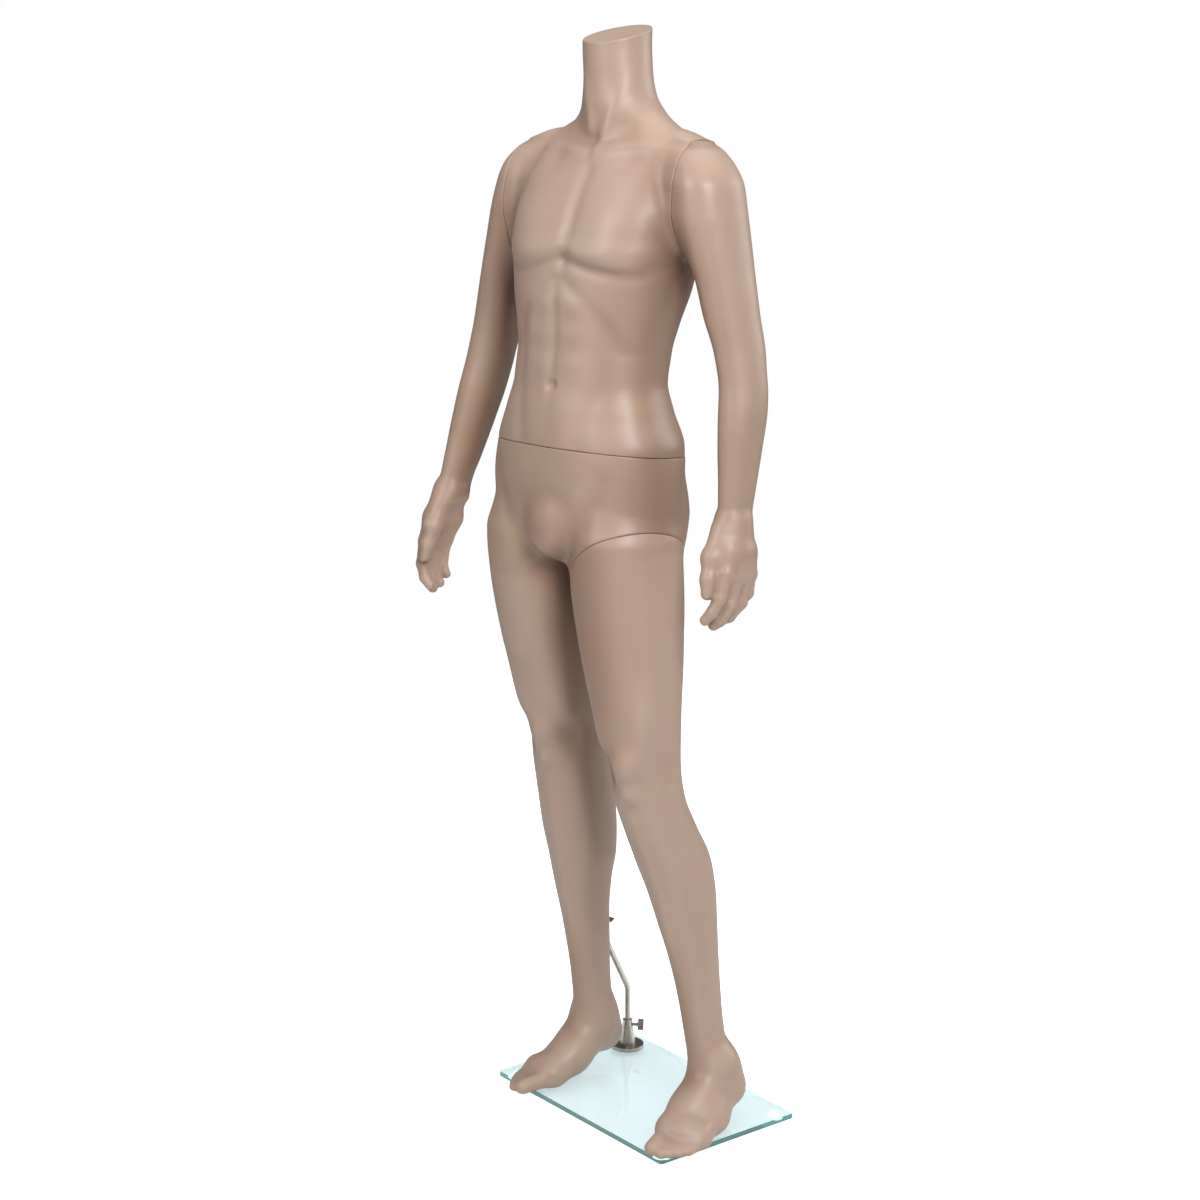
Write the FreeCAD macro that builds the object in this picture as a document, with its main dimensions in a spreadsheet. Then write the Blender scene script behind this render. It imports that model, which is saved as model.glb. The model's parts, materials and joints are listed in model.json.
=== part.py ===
"""Headless display mannequin standing on a glass base plate.

Millimetres, +Z up. The figure faces -Y and its own left side is +X. The origin is on the surface that the
base's rubber feet rest on, under the middle of the glass plate.

The figure is five hollow shells. The torso (with the neck) drops onto a spigot in the pelvis. Both arms
and the left leg hang on keyhole fittings: a slotted plate in the one shell, a round-headed stud in the
other. A bent rod rises from a swivelling flange on the glass into a socket in the right calf, and wing
screws clamp it at both ends.
"""
import FreeCAD, Part
import math
import os

Vector, Rotation, Placement = FreeCAD.Vector, FreeCAD.Rotation, FreeCAD.Placement

doc = FreeCAD.newDocument("display_mannequin")
sheet = doc.addObject("Spreadsheet::Sheet", "sizes")
rows_used = 0
subparts = []


def size(alias, number):
    """Write one driving dimension into the sheet and give its cell an alias."""
    global rows_used
    rows_used += 1
    sheet.set(f"A{rows_used}", alias)
    sheet.set(f"B{rows_used}", str(number))
    sheet.setAlias(f"B{rows_used}", alias)


# ---------------------------------------------------------------------------------------------------------
# Driving dimensions
# ---------------------------------------------------------------------------------------------------------

BASE_SIZES = {
    "glass_length": 402,
    "glass_depth": 260,
    "glass_thickness": 8,
    "glass_corner": 6,
    "glass_turn": -7,            # degrees: the plate lies slightly turned under the figure
    "glass_hole_radius": 5.5,
    "bumper_radius": 8,
    "bumper_height": 3,
    "bumper_inset": 22,
    "flange_x": -138,
    "flange_y": 106,
    "flange_radius": 26,
    "flange_thickness": 5,
    "gasket_thickness": 1,
    "socket_base_radius": 13,
    "socket_top_radius": 7.5,
    "socket_height": 46,
    "rod_radius": 4.8,
    "rod_clearance": 0.08,
    "rod_depth": 38,             # how far the rod reaches into the base socket
    "rod_straight": 102,         # height of the rod's bend above the plate
    "rod_bend_radius": 26,
    "rod_lean": 28,              # degrees that the upper run leans forward
    "rod_upper": 178,            # length of the leaning run
    "bolt_radius": 4,
    "bolt_head_radius": 9,
    "screw_radius": 2.5,
    "wing_span": 9,
    "calf_tube_radius": 8,
    "calf_tube_length": 74,
    "calf_rod_depth": 60,        # how far the rod reaches into the calf socket
}

FITTING_SIZES = {
    "shell_wall": 3.5,
    "face_wall": 14,             # a shell is thick where it carries a fitting
    "seam_gap": 0.4,
    "sole_gap": 0.4,             # the shell feet hang just clear of the glass
    "plate_length": 66,
    "plate_width": 34,
    "plate_thickness": 3,
    "slot_travel": 24,
    "bush_radius": 7,
    "bush_clearance": 0.08,
    "running_clearance": 0.06,
    "stud_radius": 5,
    "stud_head_radius": 11,
    "stud_head_thickness": 3.5,
    "stud_flange_radius": 19,
    "stud_flange_thickness": 3,
    "spigot_radius": 14,
    "spigot_length": 44,
    "spigot_wall": 3,
    "waist_flange_radius": 38,
    "waist_flange_thickness": 4,
    "locating_pin_radius": 4,
    "locating_pin_length": 12,
    "locating_pin_offset": 27,
}

SEAM_SIZES = {
    "waist_seam_y": -92,
    "waist_seam_z": 1022,
    "waist_seam_slope": 6.5,     # degrees: the seam rises towards the front
    "thigh_seam_x": 66,
    "thigh_seam_y": -100,
    "thigh_seam_z": 869,
    "thigh_seam_roll": 35.1,     # degrees: the seam rises towards the outside of the hip
    "thigh_seam_pitch": 18.4,    # degrees: and towards the front
    "leg_split_x": -19,
    "left_shoulder_x": 137,
    "left_shoulder_y": -44,
    "right_shoulder_x": -177,
    "right_shoulder_y": -60,
    "shoulder_z": 1390,
    "neck_top_z": 1596,
    "neck_top_slope": -14,       # degrees: the cut is lower at the front
}

# Each shell is lofted through level ellipses: name, centre x, centre y, height, half width, half depth.
TORSO = (
    ("hip", -26, -92, 980, 158, 112),
    ("belt", -26, -91, 1030, 150, 108),
    ("flank", -26, -88, 1080, 132, 99),
    ("waist", -26, -84, 1125, 122, 92),
    ("ribs", -24, -74, 1190, 131, 98),
    ("chest_low", -22, -66, 1250, 143, 105),
    ("chest_high", -21, -60, 1320, 150, 112),
    ("armpit", -20, -57, 1375, 144, 100),
    ("shoulder", -20, -53, 1415, 139, 82),
    ("collar", -19, -49, 1444, 122, 66),
    ("neck_root", -18, -46, 1472, 78, 57),
    ("neck_low", -17, -44, 1502, 55, 52),
    ("neck_middle", -18, -42, 1535, 50, 50),
    ("neck_high", -19, -41, 1572, 49, 49),
    ("neck_cut", -20, -40, 1616, 49.5, 49.5),
)
PELVIS = (
    ("crotch", -26, -94, 862, 118, 88),
    ("seat", -26, -93, 892, 152, 112),
    ("hips", -26, -92, 935, 161, 114),
    ("iliac", -26, -92, 980, 158, 112),
    ("waistline", -26, -91, 1040, 149, 107),
)
LEFT_ARM = (
    ("crown", 150, -42, 1450, 14, 16),
    ("cap", 150, -42, 1440, 36, 40),
    ("ball", 152, -42, 1410, 51, 56),
    ("deltoid", 157, -41, 1365, 52, 58),
    ("biceps", 177, -38, 1300, 41, 50),
    ("arm_low", 192, -34, 1230, 38, 45),
    ("elbow", 208, -30, 1160, 34, 40),
    ("forearm", 215, -34, 1105, 34, 41),
    ("forearm_low", 219, -44, 1030, 28, 35),
    ("wrist", 222, -54, 945, 21, 30),
    ("palm", 225, -64, 890, 17, 43),
    ("knuckles", 224, -70, 850, 15, 41),
    ("fingers", 218, -76, 815, 12, 30),
    ("tips", 213, -80, 798, 7, 14),
)
RIGHT_ARM = (
    ("crown", -190, -60, 1447, 14, 16),
    ("cap", -190, -60, 1437, 36, 40),
    ("ball", -190, -60, 1407, 46, 54),
    ("deltoid", -193, -62, 1362, 47, 56),
    ("biceps", -210, -64, 1298, 40, 48),
    ("arm_low", -227, -66, 1228, 37, 44),
    ("elbow", -244, -74, 1155, 34, 40),
    ("forearm", -250, -86, 1100, 34, 41),
    ("forearm_low", -256, -114, 1020, 28, 35),
    ("wrist", -262, -146, 935, 21, 30),
    ("palm", -266, -164, 885, 18, 42),
    ("knuckles", -268, -174, 848, 16, 38),
    ("fingers", -268, -177, 812, 13, 28),
    ("tips", -268, -177, 794, 8, 14),
)
# Sections of the legs and arms are deeper than wide, so their long axis lies along Y.
LEFT_LEG = (
    ("top", 62, -98, 960, 70, 84),
    ("groin", 66, -98, 900, 80, 98),
    ("thigh_high", 72, -98, 840, 79, 94),
    ("thigh", 84, -99, 740, 72, 86),
    ("thigh_low", 98, -101, 630, 60, 70),
    ("knee", 106, -98, 520, 50, 60),
    ("shin_high", 111, -74, 450, 50, 59),
    ("calf", 117, -50, 380, 48, 56),
    ("calf_low", 124, -34, 300, 38, 46),
    ("shin_low", 131, -22, 220, 29, 39),
    ("ankle", 138, -10, 125, 25, 36),
    ("instep", 148, -28, 80, 31, 66),
    ("foot", 162, -54, 48, 38, 96),
    ("ball_of_foot", 170, -78, 24, 40, 92),
    ("sole", 173, -94, 8, 34, 62),
)
RIGHT_LEG = (
    ("top", -106, -100, 960, 70, 84),
    ("groin", -106, -99, 900, 80, 98),
    ("thigh_high", -106, -92, 840, 79, 94),
    ("thigh", -106, -78, 740, 72, 86),
    ("thigh_low", -106, -60, 630, 62, 71),
    ("knee", -107, -42, 520, 53, 61),
    ("shin_high", -109, -34, 450, 52, 59),
    ("calf", -113, -24, 380, 49, 56),
    ("calf_low", -117, -14, 300, 39, 46),
    ("shin_low", -120, -4, 220, 30, 39),
    ("ankle", -124, 8, 125, 25, 36),
    ("instep", -128, -4, 80, 31, 66),
    ("foot", -134, -26, 48, 38, 96),
    ("ball_of_foot", -138, -46, 24, 40, 92),
    ("sole", -140, -70, 8, 34, 60),
)
SECTION_COLUMNS = ("x", "y", "z", "wide", "deep")
BODY_FORMS = {
    "torso": TORSO,
    "pelvis": PELVIS,
    "left_arm": LEFT_ARM,
    "right_arm": RIGHT_ARM,
    "left_leg": LEFT_LEG,
    "right_leg": RIGHT_LEG,
}

for group in (BASE_SIZES, FITTING_SIZES, SEAM_SIZES):
    for alias, number in group.items():
        size(alias, number)
for form, sections in BODY_FORMS.items():
    for section in sections:
        for column, number in zip(SECTION_COLUMNS, section[1:]):
            size(f"{form}_{section[0]}_{column}", number)
doc.recompute()


def value(alias):
    """A dimension as a number, for the few shapes and places that are worked out in this script."""
    return float(sheet.get(alias))


# ---------------------------------------------------------------------------------------------------------
# Building blocks
# ---------------------------------------------------------------------------------------------------------

def bound(kind, name, placement=None, **expressions):
    """Add a Part object whose sizes follow the sheet."""
    piece = doc.addObject(f"Part::{kind}", name)
    if placement is not None:
        piece.Placement = placement
    for prop, expression in expressions.items():
        piece.setExpression(prop.replace("__", "."), expression)
    return piece


def cylinder(name, radius, height, placement):
    return bound("Cylinder", name, placement, Radius=radius, Height=height)


def fuse(name, *pieces):
    joined = doc.addObject("Part::MultiFuse", name)
    joined.Shapes = list(pieces)
    return joined


def common(name, *pieces):
    shared = doc.addObject("Part::MultiCommon", name)
    shared.Shapes = list(pieces)
    return shared


def cut(name, body, *tools):
    """body less the tools, joined first when there are several."""
    result = doc.addObject("Part::Cut", name)
    result.Base = body
    result.Tool = tools[0] if len(tools) == 1 else fuse(f"{name}_tools", *tools)
    return result


def subpart(label, piece):
    """Name the finished piece: its label is the name of its file."""
    piece.Label = label
    subparts.append(piece)
    return piece


def moved(frame, x=0, y=0, z=0, rotation=None):
    """A place inside the local frame of a fitting."""
    return frame.multiply(Placement(Vector(x, y, z), rotation or Rotation()))


def body_form(form, inset=False):
    """The smooth outer form of one stretch of the body, or the same form shrunk by the shell's wall."""
    wall = " - sizes.shell_wall" if inset else ""
    suffix = "_inner" if inset else "_outer"
    upright = form in ("torso", "pelvis")
    ellipses = []
    for section in BODY_FORMS[form]:
        key = f"sizes.{form}_{section[0]}"
        long_half, short_half = ("wide", "deep") if upright else ("deep", "wide")
        ellipse = bound(
            "Ellipse",
            f"{form}_{section[0]}{suffix}",
            Placement(Vector(), Rotation(Vector(0, 0, 1), 0 if upright else 90)),
            MajorRadius=f"{key}_{long_half}{wall}",
            MinorRadius=f"{key}_{short_half}{wall}",
            Placement__Base__x=f"{key}_x",
            Placement__Base__y=f"{key}_y",
            Placement__Base__z=f"{key}_z",
        )
        ellipses.append(ellipse)
    loft = doc.addObject("Part::Loft", f"{form}_form{suffix}")
    loft.Sections = ellipses
    loft.Solid = True
    loft.MaxDegree = 3
    return loft


def half_space(name, frame, below, offset):
    """A large block on one side of a seam's plane, held back from it by offset."""
    span = 3000
    block = bound("Box", name, Length=f"{span}", Width=f"{span}", Height=f"{span}")
    start = -span - offset if below else offset
    block.Placement = moved(frame, -span / 2, -span / 2, start)
    return block


# ---------------------------------------------------------------------------------------------------------
# Seam frames: z is the seam's normal, from the shell that carries to the shell that is carried, and
# x is the way in which the carried shell slides to come off a keyhole fitting.
# ---------------------------------------------------------------------------------------------------------

def frame_from(origin, slide, normal):
    return Placement(origin, Rotation(slide, normal.cross(slide), normal, "XZY"))


waist = Placement(
    Vector(value("torso_belt_x"), value("waist_seam_y"), value("waist_seam_z")),
    Rotation(Vector(1, 0, 0), -value("waist_seam_slope")),
)
roll = math.radians(value("thigh_seam_roll"))
thigh = frame_from(
    Vector(value("thigh_seam_x"), value("thigh_seam_y"), value("thigh_seam_z")),
    Vector(math.cos(roll), 0, math.sin(roll)),
    Vector(math.tan(roll), -math.tan(math.radians(value("thigh_seam_pitch"))), -1).normalize(),
)
left_shoulder = frame_from(
    Vector(value("left_shoulder_x"), value("left_shoulder_y"), value("shoulder_z")),
    Vector(0, 0, 1),
    Vector(1, 0, 0),
)
right_shoulder = frame_from(
    Vector(value("right_shoulder_x"), value("right_shoulder_y"), value("shoulder_z")),
    Vector(0, 0, 1),
    Vector(-1, 0, 0),
)
neck_top = Placement(
    Vector(value("torso_neck_high_x"), value("torso_neck_high_y"), value("neck_top_z")),
    Rotation(Vector(1, 0, 0), -value("neck_top_slope")),
)
leg_split = frame_from(Vector(value("leg_split_x"), 0, 0), Vector(0, 0, 1), Vector(1, 0, 0))

gap = value("seam_gap") / 2
face = value("face_wall") + gap
wall = value("shell_wall") + gap


# ---------------------------------------------------------------------------------------------------------
# Keyhole fittings at the shoulders and the left thigh
# ---------------------------------------------------------------------------------------------------------

def keyhole_fitting(name, frame):
    """Plate, stud, bush and screws; returns the pockets that the two shells need for them."""
    plate_back = -gap - value("plate_thickness")
    travel = value("slot_travel")
    head_room = 1.5
    slot_width = 2 * (value("bush_radius") + value("bush_clearance"))
    end = -value("bush_radius") - value("bush_clearance")

    blank = bound(
        "Box", f"{name}_plate_blank", moved(frame, -21, -value("plate_width") / 2, plate_back),
        Length="sizes.plate_length", Width="sizes.plate_width", Height="sizes.plate_thickness",
    )
    slot_end = cylinder(f"{name}_slot_end", "sizes.bush_radius + sizes.bush_clearance", "20",
                        moved(frame, 0, 0, -10))
    slot = bound("Box", f"{name}_slot", moved(frame, 0, end, -10), Length="sizes.slot_travel",
                 Width=f"{slot_width}", Height="20")
    keyhole = cylinder(f"{name}_keyhole", "sizes.stud_head_radius + 0.6", "20", moved(frame, travel, 0, -10))
    screw_places = [(-16, 12), (-16, -12), (40, 12), (40, -12)]
    screw_holes = [screw(f"{name}_plate_hole{index}", moved(frame, x, y, -gap), 0.1)
                   for index, (x, y) in enumerate(screw_places)]
    plate = cut(f"{name}_plate_cut", blank, slot_end, slot, keyhole, *screw_holes)
    subpart(f"{name}_slot_plate", plate)
    subpart(f"{name}_plate_screws", fuse(f"{name}_plate_screw_group", *[
        screw(f"{name}_plate_screw{index}", moved(frame, x, y, -gap), 0)
        for index, (x, y) in enumerate(screw_places)]))

    head_front = plate_back - 0.3
    head = cylinder(f"{name}_stud_head", "sizes.stud_head_radius", "sizes.stud_head_thickness",
                    moved(frame, 0, 0, head_front - value("stud_head_thickness")))
    neck_length = gap - head_front + 1
    neck = cylinder(f"{name}_stud_neck", "sizes.stud_radius", f"{neck_length}", moved(frame, 0, 0, head_front))
    flange = cylinder(f"{name}_stud_flange", "sizes.stud_flange_radius", "sizes.stud_flange_thickness",
                      moved(frame, 0, 0, gap))
    stud_places = [(13 * math.cos(turn), 13 * math.sin(turn))
                   for turn in [math.radians(90 + 120 * step) for step in range(3)]]
    face_out = Rotation(Vector(1, 0, 0), 180)
    stud_holes = [screw(f"{name}_stud_hole{index}", moved(frame, x, y, gap, face_out), 0.1)
                  for index, (x, y) in enumerate(stud_places)]
    stud = cut(f"{name}_stud_cut", fuse(f"{name}_stud_body", head, neck, flange), *stud_holes)
    subpart(f"{name}_stud", stud)
    subpart(f"{name}_stud_screws", fuse(f"{name}_stud_screw_group", *[
        screw(f"{name}_stud_screw{index}", moved(frame, x, y, gap, face_out), 0)
        for index, (x, y) in enumerate(stud_places)]))

    bush_blank = cylinder(f"{name}_bush_blank", "sizes.bush_radius", "sizes.plate_thickness + 0.2",
                          moved(frame, 0, 0, plate_back - 0.1))
    bush_bore = cylinder(f"{name}_bush_bore", "sizes.stud_radius + sizes.running_clearance", "20",
                         moved(frame, 0, 0, -10))
    subpart(f"{name}_slot_bush", cut(f"{name}_bush_cut", bush_blank, bush_bore))

    plate_pocket = bound(
        "Box", f"{name}_plate_pocket", moved(frame, -21, -value("plate_width") / 2, plate_back),
        Length="sizes.plate_length", Width="sizes.plate_width", Height="20",
    )
    head_depth = value("stud_head_thickness") + 0.3 + head_room
    channel = bound(
        "Box", f"{name}_head_channel",
        moved(frame, -value("stud_head_radius") - 1, -value("stud_head_radius") - 1, plate_back - head_depth),
        Length=f"sizes.slot_travel + 2 * sizes.stud_head_radius + 2", Width="2 * sizes.stud_head_radius + 2",
        Height=f"{head_depth + 1}",
    )
    carrier_holes = [screw(f"{name}_carrier_hole{index}", moved(frame, x, y, -gap), 0.05)
                     for index, (x, y) in enumerate(screw_places)]
    flange_pocket = cylinder(f"{name}_flange_pocket", "sizes.stud_flange_radius + 0.1",
                             "sizes.stud_flange_thickness + 20", moved(frame, 0, 0, gap - 20))
    carried_holes = [screw(f"{name}_carried_hole{index}", moved(frame, x, y, gap, face_out), 0.05)
                     for index, (x, y) in enumerate(stud_places)]
    return [plate_pocket, channel] + carrier_holes, [flange_pocket] + carried_holes


def screw(name, frame, extra):
    """A countersunk wood screw whose flat head lies in the frame's z = 0 plane; extra widens it to a hole."""
    head_depth = 1.8
    head = bound("Cone", f"{name}_head", moved(frame, 0, 0, -head_depth - extra), Radius1=f"{1.6 + extra}",
                 Radius2=f"{3.4 + extra}", Height=f"{head_depth + extra}")
    shank = cylinder(f"{name}_shank", f"{1.6 + extra}", f"{9 + extra}", moved(frame, 0, 0, -9 - extra))
    return fuse(name, head, shank)


# ---------------------------------------------------------------------------------------------------------
# Waist: a spigot in the torso drops into a cup in the pelvis, and an off-centre pin stops it turning
# ---------------------------------------------------------------------------------------------------------

def waist_fitting():
    thick = value("waist_flange_thickness")
    cup_bore = "sizes.spigot_radius + sizes.running_clearance"
    cup_flange = cylinder("cup_flange", "sizes.waist_flange_radius", "sizes.waist_flange_thickness",
                          moved(waist, 0, 0, -gap - thick))
    cup_tube = cylinder("cup_tube", "sizes.spigot_radius + sizes.spigot_wall", "sizes.spigot_length + 6",
                        moved(waist, 0, 0, -gap - value("spigot_length") - 6))
    cup_hole = cylinder("cup_hole", cup_bore, "sizes.spigot_length + 12",
                        moved(waist, 0, 0, -gap - value("spigot_length") - 2))
    pin_hole = cylinder("pin_hole", "sizes.locating_pin_radius + sizes.bush_clearance", "40",
                        moved(waist, value("locating_pin_offset"), 0, -20))
    turns = [math.radians(60 + 120 * step) for step in range(3)]
    places = [(30 * math.cos(turn), 30 * math.sin(turn)) for turn in turns]
    lower_holes = [screw(f"cup_hole{index}", moved(waist, x, y, -gap), 0.1)
                   for index, (x, y) in enumerate(places)]
    cup = cut("cup_cut", fuse("cup_body", cup_flange, cup_tube), cup_hole, pin_hole, *lower_holes)
    subpart("waist_cup", cup)
    subpart("waist_cup_screws", fuse("cup_screw_group", *[
        screw(f"cup_screw{index}", moved(waist, x, y, -gap), 0) for index, (x, y) in enumerate(places)]))

    face_up = Rotation(Vector(1, 0, 0), 180)
    spigot_flange = cylinder("spigot_flange", "sizes.waist_flange_radius", "sizes.waist_flange_thickness",
                             moved(waist, 0, 0, gap))
    spigot_post = cylinder("spigot_post", "sizes.spigot_radius", "sizes.spigot_length",
                           moved(waist, 0, 0, gap + 1 - value("spigot_length")))
    upper_holes = [screw(f"spigot_hole{index}", moved(waist, x, y, gap, face_up), 0.1)
                   for index, (x, y) in enumerate(places)]
    pin_seat = cylinder("pin_seat", "sizes.locating_pin_radius", "40",
                        moved(waist, value("locating_pin_offset"), 0, -20))
    spigot = cut("spigot_cut", fuse("spigot_body", spigot_flange, spigot_post), pin_seat, *upper_holes)
    subpart("waist_spigot", spigot)
    subpart("waist_locating_pin", cylinder(
        "locating_pin", "sizes.locating_pin_radius", "sizes.locating_pin_length",
        moved(waist, value("locating_pin_offset"), 0, gap + thick - value("locating_pin_length"))))
    subpart("waist_spigot_screws", fuse("spigot_screw_group", *[
        screw(f"spigot_screw{index}", moved(waist, x, y, gap, face_up), 0)
        for index, (x, y) in enumerate(places)]))

    lower_pockets = [
        cylinder("cup_flange_pocket", "sizes.waist_flange_radius + 0.1", "20", moved(waist, 0, 0, -gap - thick)),
        cylinder("cup_tube_pocket", "sizes.spigot_radius + sizes.spigot_wall + 0.1", "80",
                 moved(waist, 0, 0, -70)),
        cylinder("pin_pocket", "sizes.locating_pin_radius + 0.3", "30",
                 moved(waist, value("locating_pin_offset"), 0, -12)),
    ]
    lower_pockets += [screw(f"pelvis_hole{index}", moved(waist, x, y, -gap), 0.05)
                      for index, (x, y) in enumerate(places)]
    upper_pockets = [cylinder("spigot_flange_pocket", "sizes.waist_flange_radius + 0.1", "20",
                              moved(waist, 0, 0, gap + thick - 20))]
    upper_pockets += [screw(f"torso_hole{index}", moved(waist, x, y, gap, face_up), 0.05)
                      for index, (x, y) in enumerate(places)]
    return lower_pockets, upper_pockets


# ---------------------------------------------------------------------------------------------------------
# Base plate, flange and support rod
# ---------------------------------------------------------------------------------------------------------

glass_top = value("bumper_height") + value("glass_thickness")
flange_bottom = glass_top + value("gasket_thickness")
rod_axis = Placement(Vector(value("flange_x"), value("flange_y"), 0), Rotation())
plate_turn = Placement(Vector(), Rotation(Vector(0, 0, 1), value("glass_turn")))


def glass_base():
    """Tempered glass plate with rounded corners and one hole, on four clear bumpers."""
    plate = bound(
        "Box", "glass_blank",
        moved(plate_turn, -value("glass_length") / 2, -value("glass_depth") / 2, value("bumper_height")),
        Length="sizes.glass_length", Width="sizes.glass_depth", Height="sizes.glass_thickness",
    )
    doc.recompute()
    rounded = doc.addObject("Part::Fillet", "glass_rounded")
    rounded.Base = plate
    upright = [index + 1 for index, edge in enumerate(plate.Shape.Edges)
               if abs(edge.BoundBox.ZLength - value("glass_thickness")) < 0.01]
    rounded.Edges = [(index, value("glass_corner"), value("glass_corner")) for index in upright]
    hole = cylinder("glass_hole", "sizes.glass_hole_radius", "40", moved(rod_axis))
    subpart("glass_base", cut("glass_drilled", rounded, hole))
    bumpers = []
    for index, (side, end) in enumerate([(1, 1), (1, -1), (-1, 1), (-1, -1)]):
        place = moved(plate_turn, side * (value("glass_length") / 2 - value("bumper_inset")),
                      end * (value("glass_depth") / 2 - value("bumper_inset")), 0)
        bumpers.append(bound("Cone", f"bumper{index}", place, Radius1="sizes.bumper_radius - 1",
                             Radius2="sizes.bumper_radius", Height="sizes.bumper_height"))
    subpart("base_bumpers", fuse("bumper_group", *bumpers))


def wing_screw(name, frame, tip, label):
    """A thumb screw along the frame's z: threaded shank, round boss and two flat wings."""
    shank_length = 12
    shank = cylinder(f"{name}_shank", "sizes.screw_radius", f"{shank_length}", moved(frame, 0, 0, tip))
    boss = cylinder(f"{name}_boss", "sizes.screw_radius + 1.6", "5", moved(frame, 0, 0, tip + shank_length - 1))
    wings = bound("Box", f"{name}_wings", moved(frame, -value("wing_span"), -0.9, tip + shank_length),
                  Length="2 * sizes.wing_span", Width="1.8", Height="9")
    return subpart(label, fuse(f"{name}_screw", shank, boss, wings))


def base_fixing():
    """Flange with its conical socket, gasket below it, and the bolt and washer under the glass."""
    gasket_ring = cylinder("gasket_ring", "sizes.flange_radius - 0.5", "sizes.gasket_thickness",
                           moved(rod_axis, 0, 0, glass_top))
    gasket_hole = cylinder("gasket_hole", "sizes.bolt_radius + 0.4", "40", moved(rod_axis))
    subpart("flange_gasket", cut("gasket_cut", gasket_ring, gasket_hole))
    disc = cylinder("flange_disc", "sizes.flange_radius", "sizes.flange_thickness",
                    moved(rod_axis, 0, 0, flange_bottom))
    cone = bound("Cone", "flange_cone", moved(rod_axis, 0, 0, flange_bottom + value("flange_thickness")),
                 Radius1="sizes.socket_base_radius", Radius2="sizes.socket_top_radius",
                 Height="sizes.socket_height - sizes.flange_thickness")
    socket_top = flange_bottom + value("socket_height")
    bore = cylinder("flange_bore", "sizes.rod_radius + sizes.rod_clearance", "sizes.rod_depth + 20",
                    moved(rod_axis, 0, 0, socket_top - value("rod_depth")))
    thread = cylinder("flange_thread", "sizes.bolt_radius + 0.05", "30", moved(rod_axis, 0, 0, flange_bottom - 24))
    screw_height = socket_top - 9
    screw_frame = Placement(Vector(value("flange_x"), value("flange_y"), screw_height),
                            Rotation(Vector(0, 0, 1), Vector(0.77, 0.64, 0)))
    side_hole = cylinder("flange_side_hole", "sizes.screw_radius + 0.05", "30",
                         moved(screw_frame, 0, 0, 2))
    flange = cut("flange_cut", fuse("flange_body", disc, cone), bore, thread, side_hole)
    subpart("base_flange", flange)
    wing_screw("flange_wing", screw_frame, value("rod_radius") + 0.15, "flange_wing_screw")
    washer_top = value("bumper_height")
    washer = cylinder("washer_ring", "sizes.bolt_head_radius", "0.8", moved(rod_axis, 0, 0, washer_top - 0.8))
    washer_hole = cylinder("washer_hole", "sizes.bolt_radius + 0.2", "40", moved(rod_axis, 0, 0, -10))
    subpart("bolt_washer", cut("washer_cut", washer, washer_hole))
    head = cylinder("bolt_head", "sizes.bolt_head_radius - 1", "1.6", moved(rod_axis, 0, 0, washer_top - 2.4))
    shank = cylinder("bolt_shank", "sizes.bolt_radius", f"{flange_bottom + 5 - washer_top + 1}",
                     moved(rod_axis, 0, 0, washer_top - 1))
    subpart("flange_bolt", fuse("bolt_body", head, shank))
    return socket_top


def rod_wire(bottom):
    """Centre line of the bent rod: straight up, one bend, then leaning forward to the calf."""
    lean = math.radians(value("rod_lean"))
    bend = value("rod_bend_radius")
    start = Vector(value("flange_x"), value("flange_y"), bottom)
    corner = Vector(value("flange_x"), value("flange_y"), glass_top + value("rod_straight"))
    tangent = bend * math.tan(lean / 2)
    before = corner - Vector(0, 0, tangent)
    away = Vector(0, -math.sin(lean), math.cos(lean))
    after = corner + away * tangent
    centre = before - Vector(0, bend, 0)
    middle = centre + Vector(0, bend * math.cos(lean / 2), bend * math.sin(lean / 2))
    end = corner + away * value("rod_upper")
    edges = [Part.makeLine(start, before), Part.Arc(before, middle, after).toShape(), Part.makeLine(after, end)]
    return Part.Wire(edges), end, away


def support_rod(socket_top):
    """The bent steel rod, with chamfered ends; returns the frame at its upper end, z along the rod."""
    bottom = socket_top - value("rod_depth") + 1
    path, end, away = rod_wire(bottom)
    profile = Part.Wire(Part.makeCircle(value("rod_radius"), Vector(value("flange_x"), value("flange_y"), bottom)))
    rod = doc.addObject("Part::Feature", "rod_sweep")
    rod.Shape = path.makePipeShell([profile], True, True)
    subpart("support_rod", rod)
    return Placement(end, Rotation(Vector(0, 0, 1), away))


def calf_socket(rod_end):
    """Tube inside the right calf that takes the rod, its escutcheon outside, and its wing screw."""
    mouth = -value("calf_rod_depth")
    tube = cylinder("calf_tube", "sizes.calf_tube_radius", "sizes.calf_tube_length",
                    moved(rod_end, 0, 0, mouth))
    bore = cylinder("calf_bore", "sizes.rod_radius + sizes.rod_clearance", "sizes.calf_rod_depth + 20.5",
                    moved(rod_end, 0, 0, mouth - 20))
    back = Rotation(Vector(1, 0, 0), -90)
    screw_frame = moved(rod_end, 0, 0, mouth + 12, back)
    side_hole = cylinder("calf_side_hole", "sizes.screw_radius + 0.05", "30", moved(screw_frame, 0, 0, 2))
    subpart("calf_socket", cut("calf_socket_cut", tube, bore, side_hole))
    wing_screw("calf_wing", screw_frame, value("rod_radius") + 0.15, "calf_wing_screw")
    tube_pocket = cylinder("calf_tube_pocket", "sizes.calf_tube_radius + 0.1", "sizes.calf_tube_length + 60",
                           moved(rod_end, 0, 0, mouth - 60))
    screw_pocket = cylinder("calf_screw_pocket", "sizes.wing_span + 2", "60", moved(screw_frame, 0, 0, 7.6))
    return [tube_pocket, screw_pocket]


# ---------------------------------------------------------------------------------------------------------
# Shells
# ---------------------------------------------------------------------------------------------------------

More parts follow.
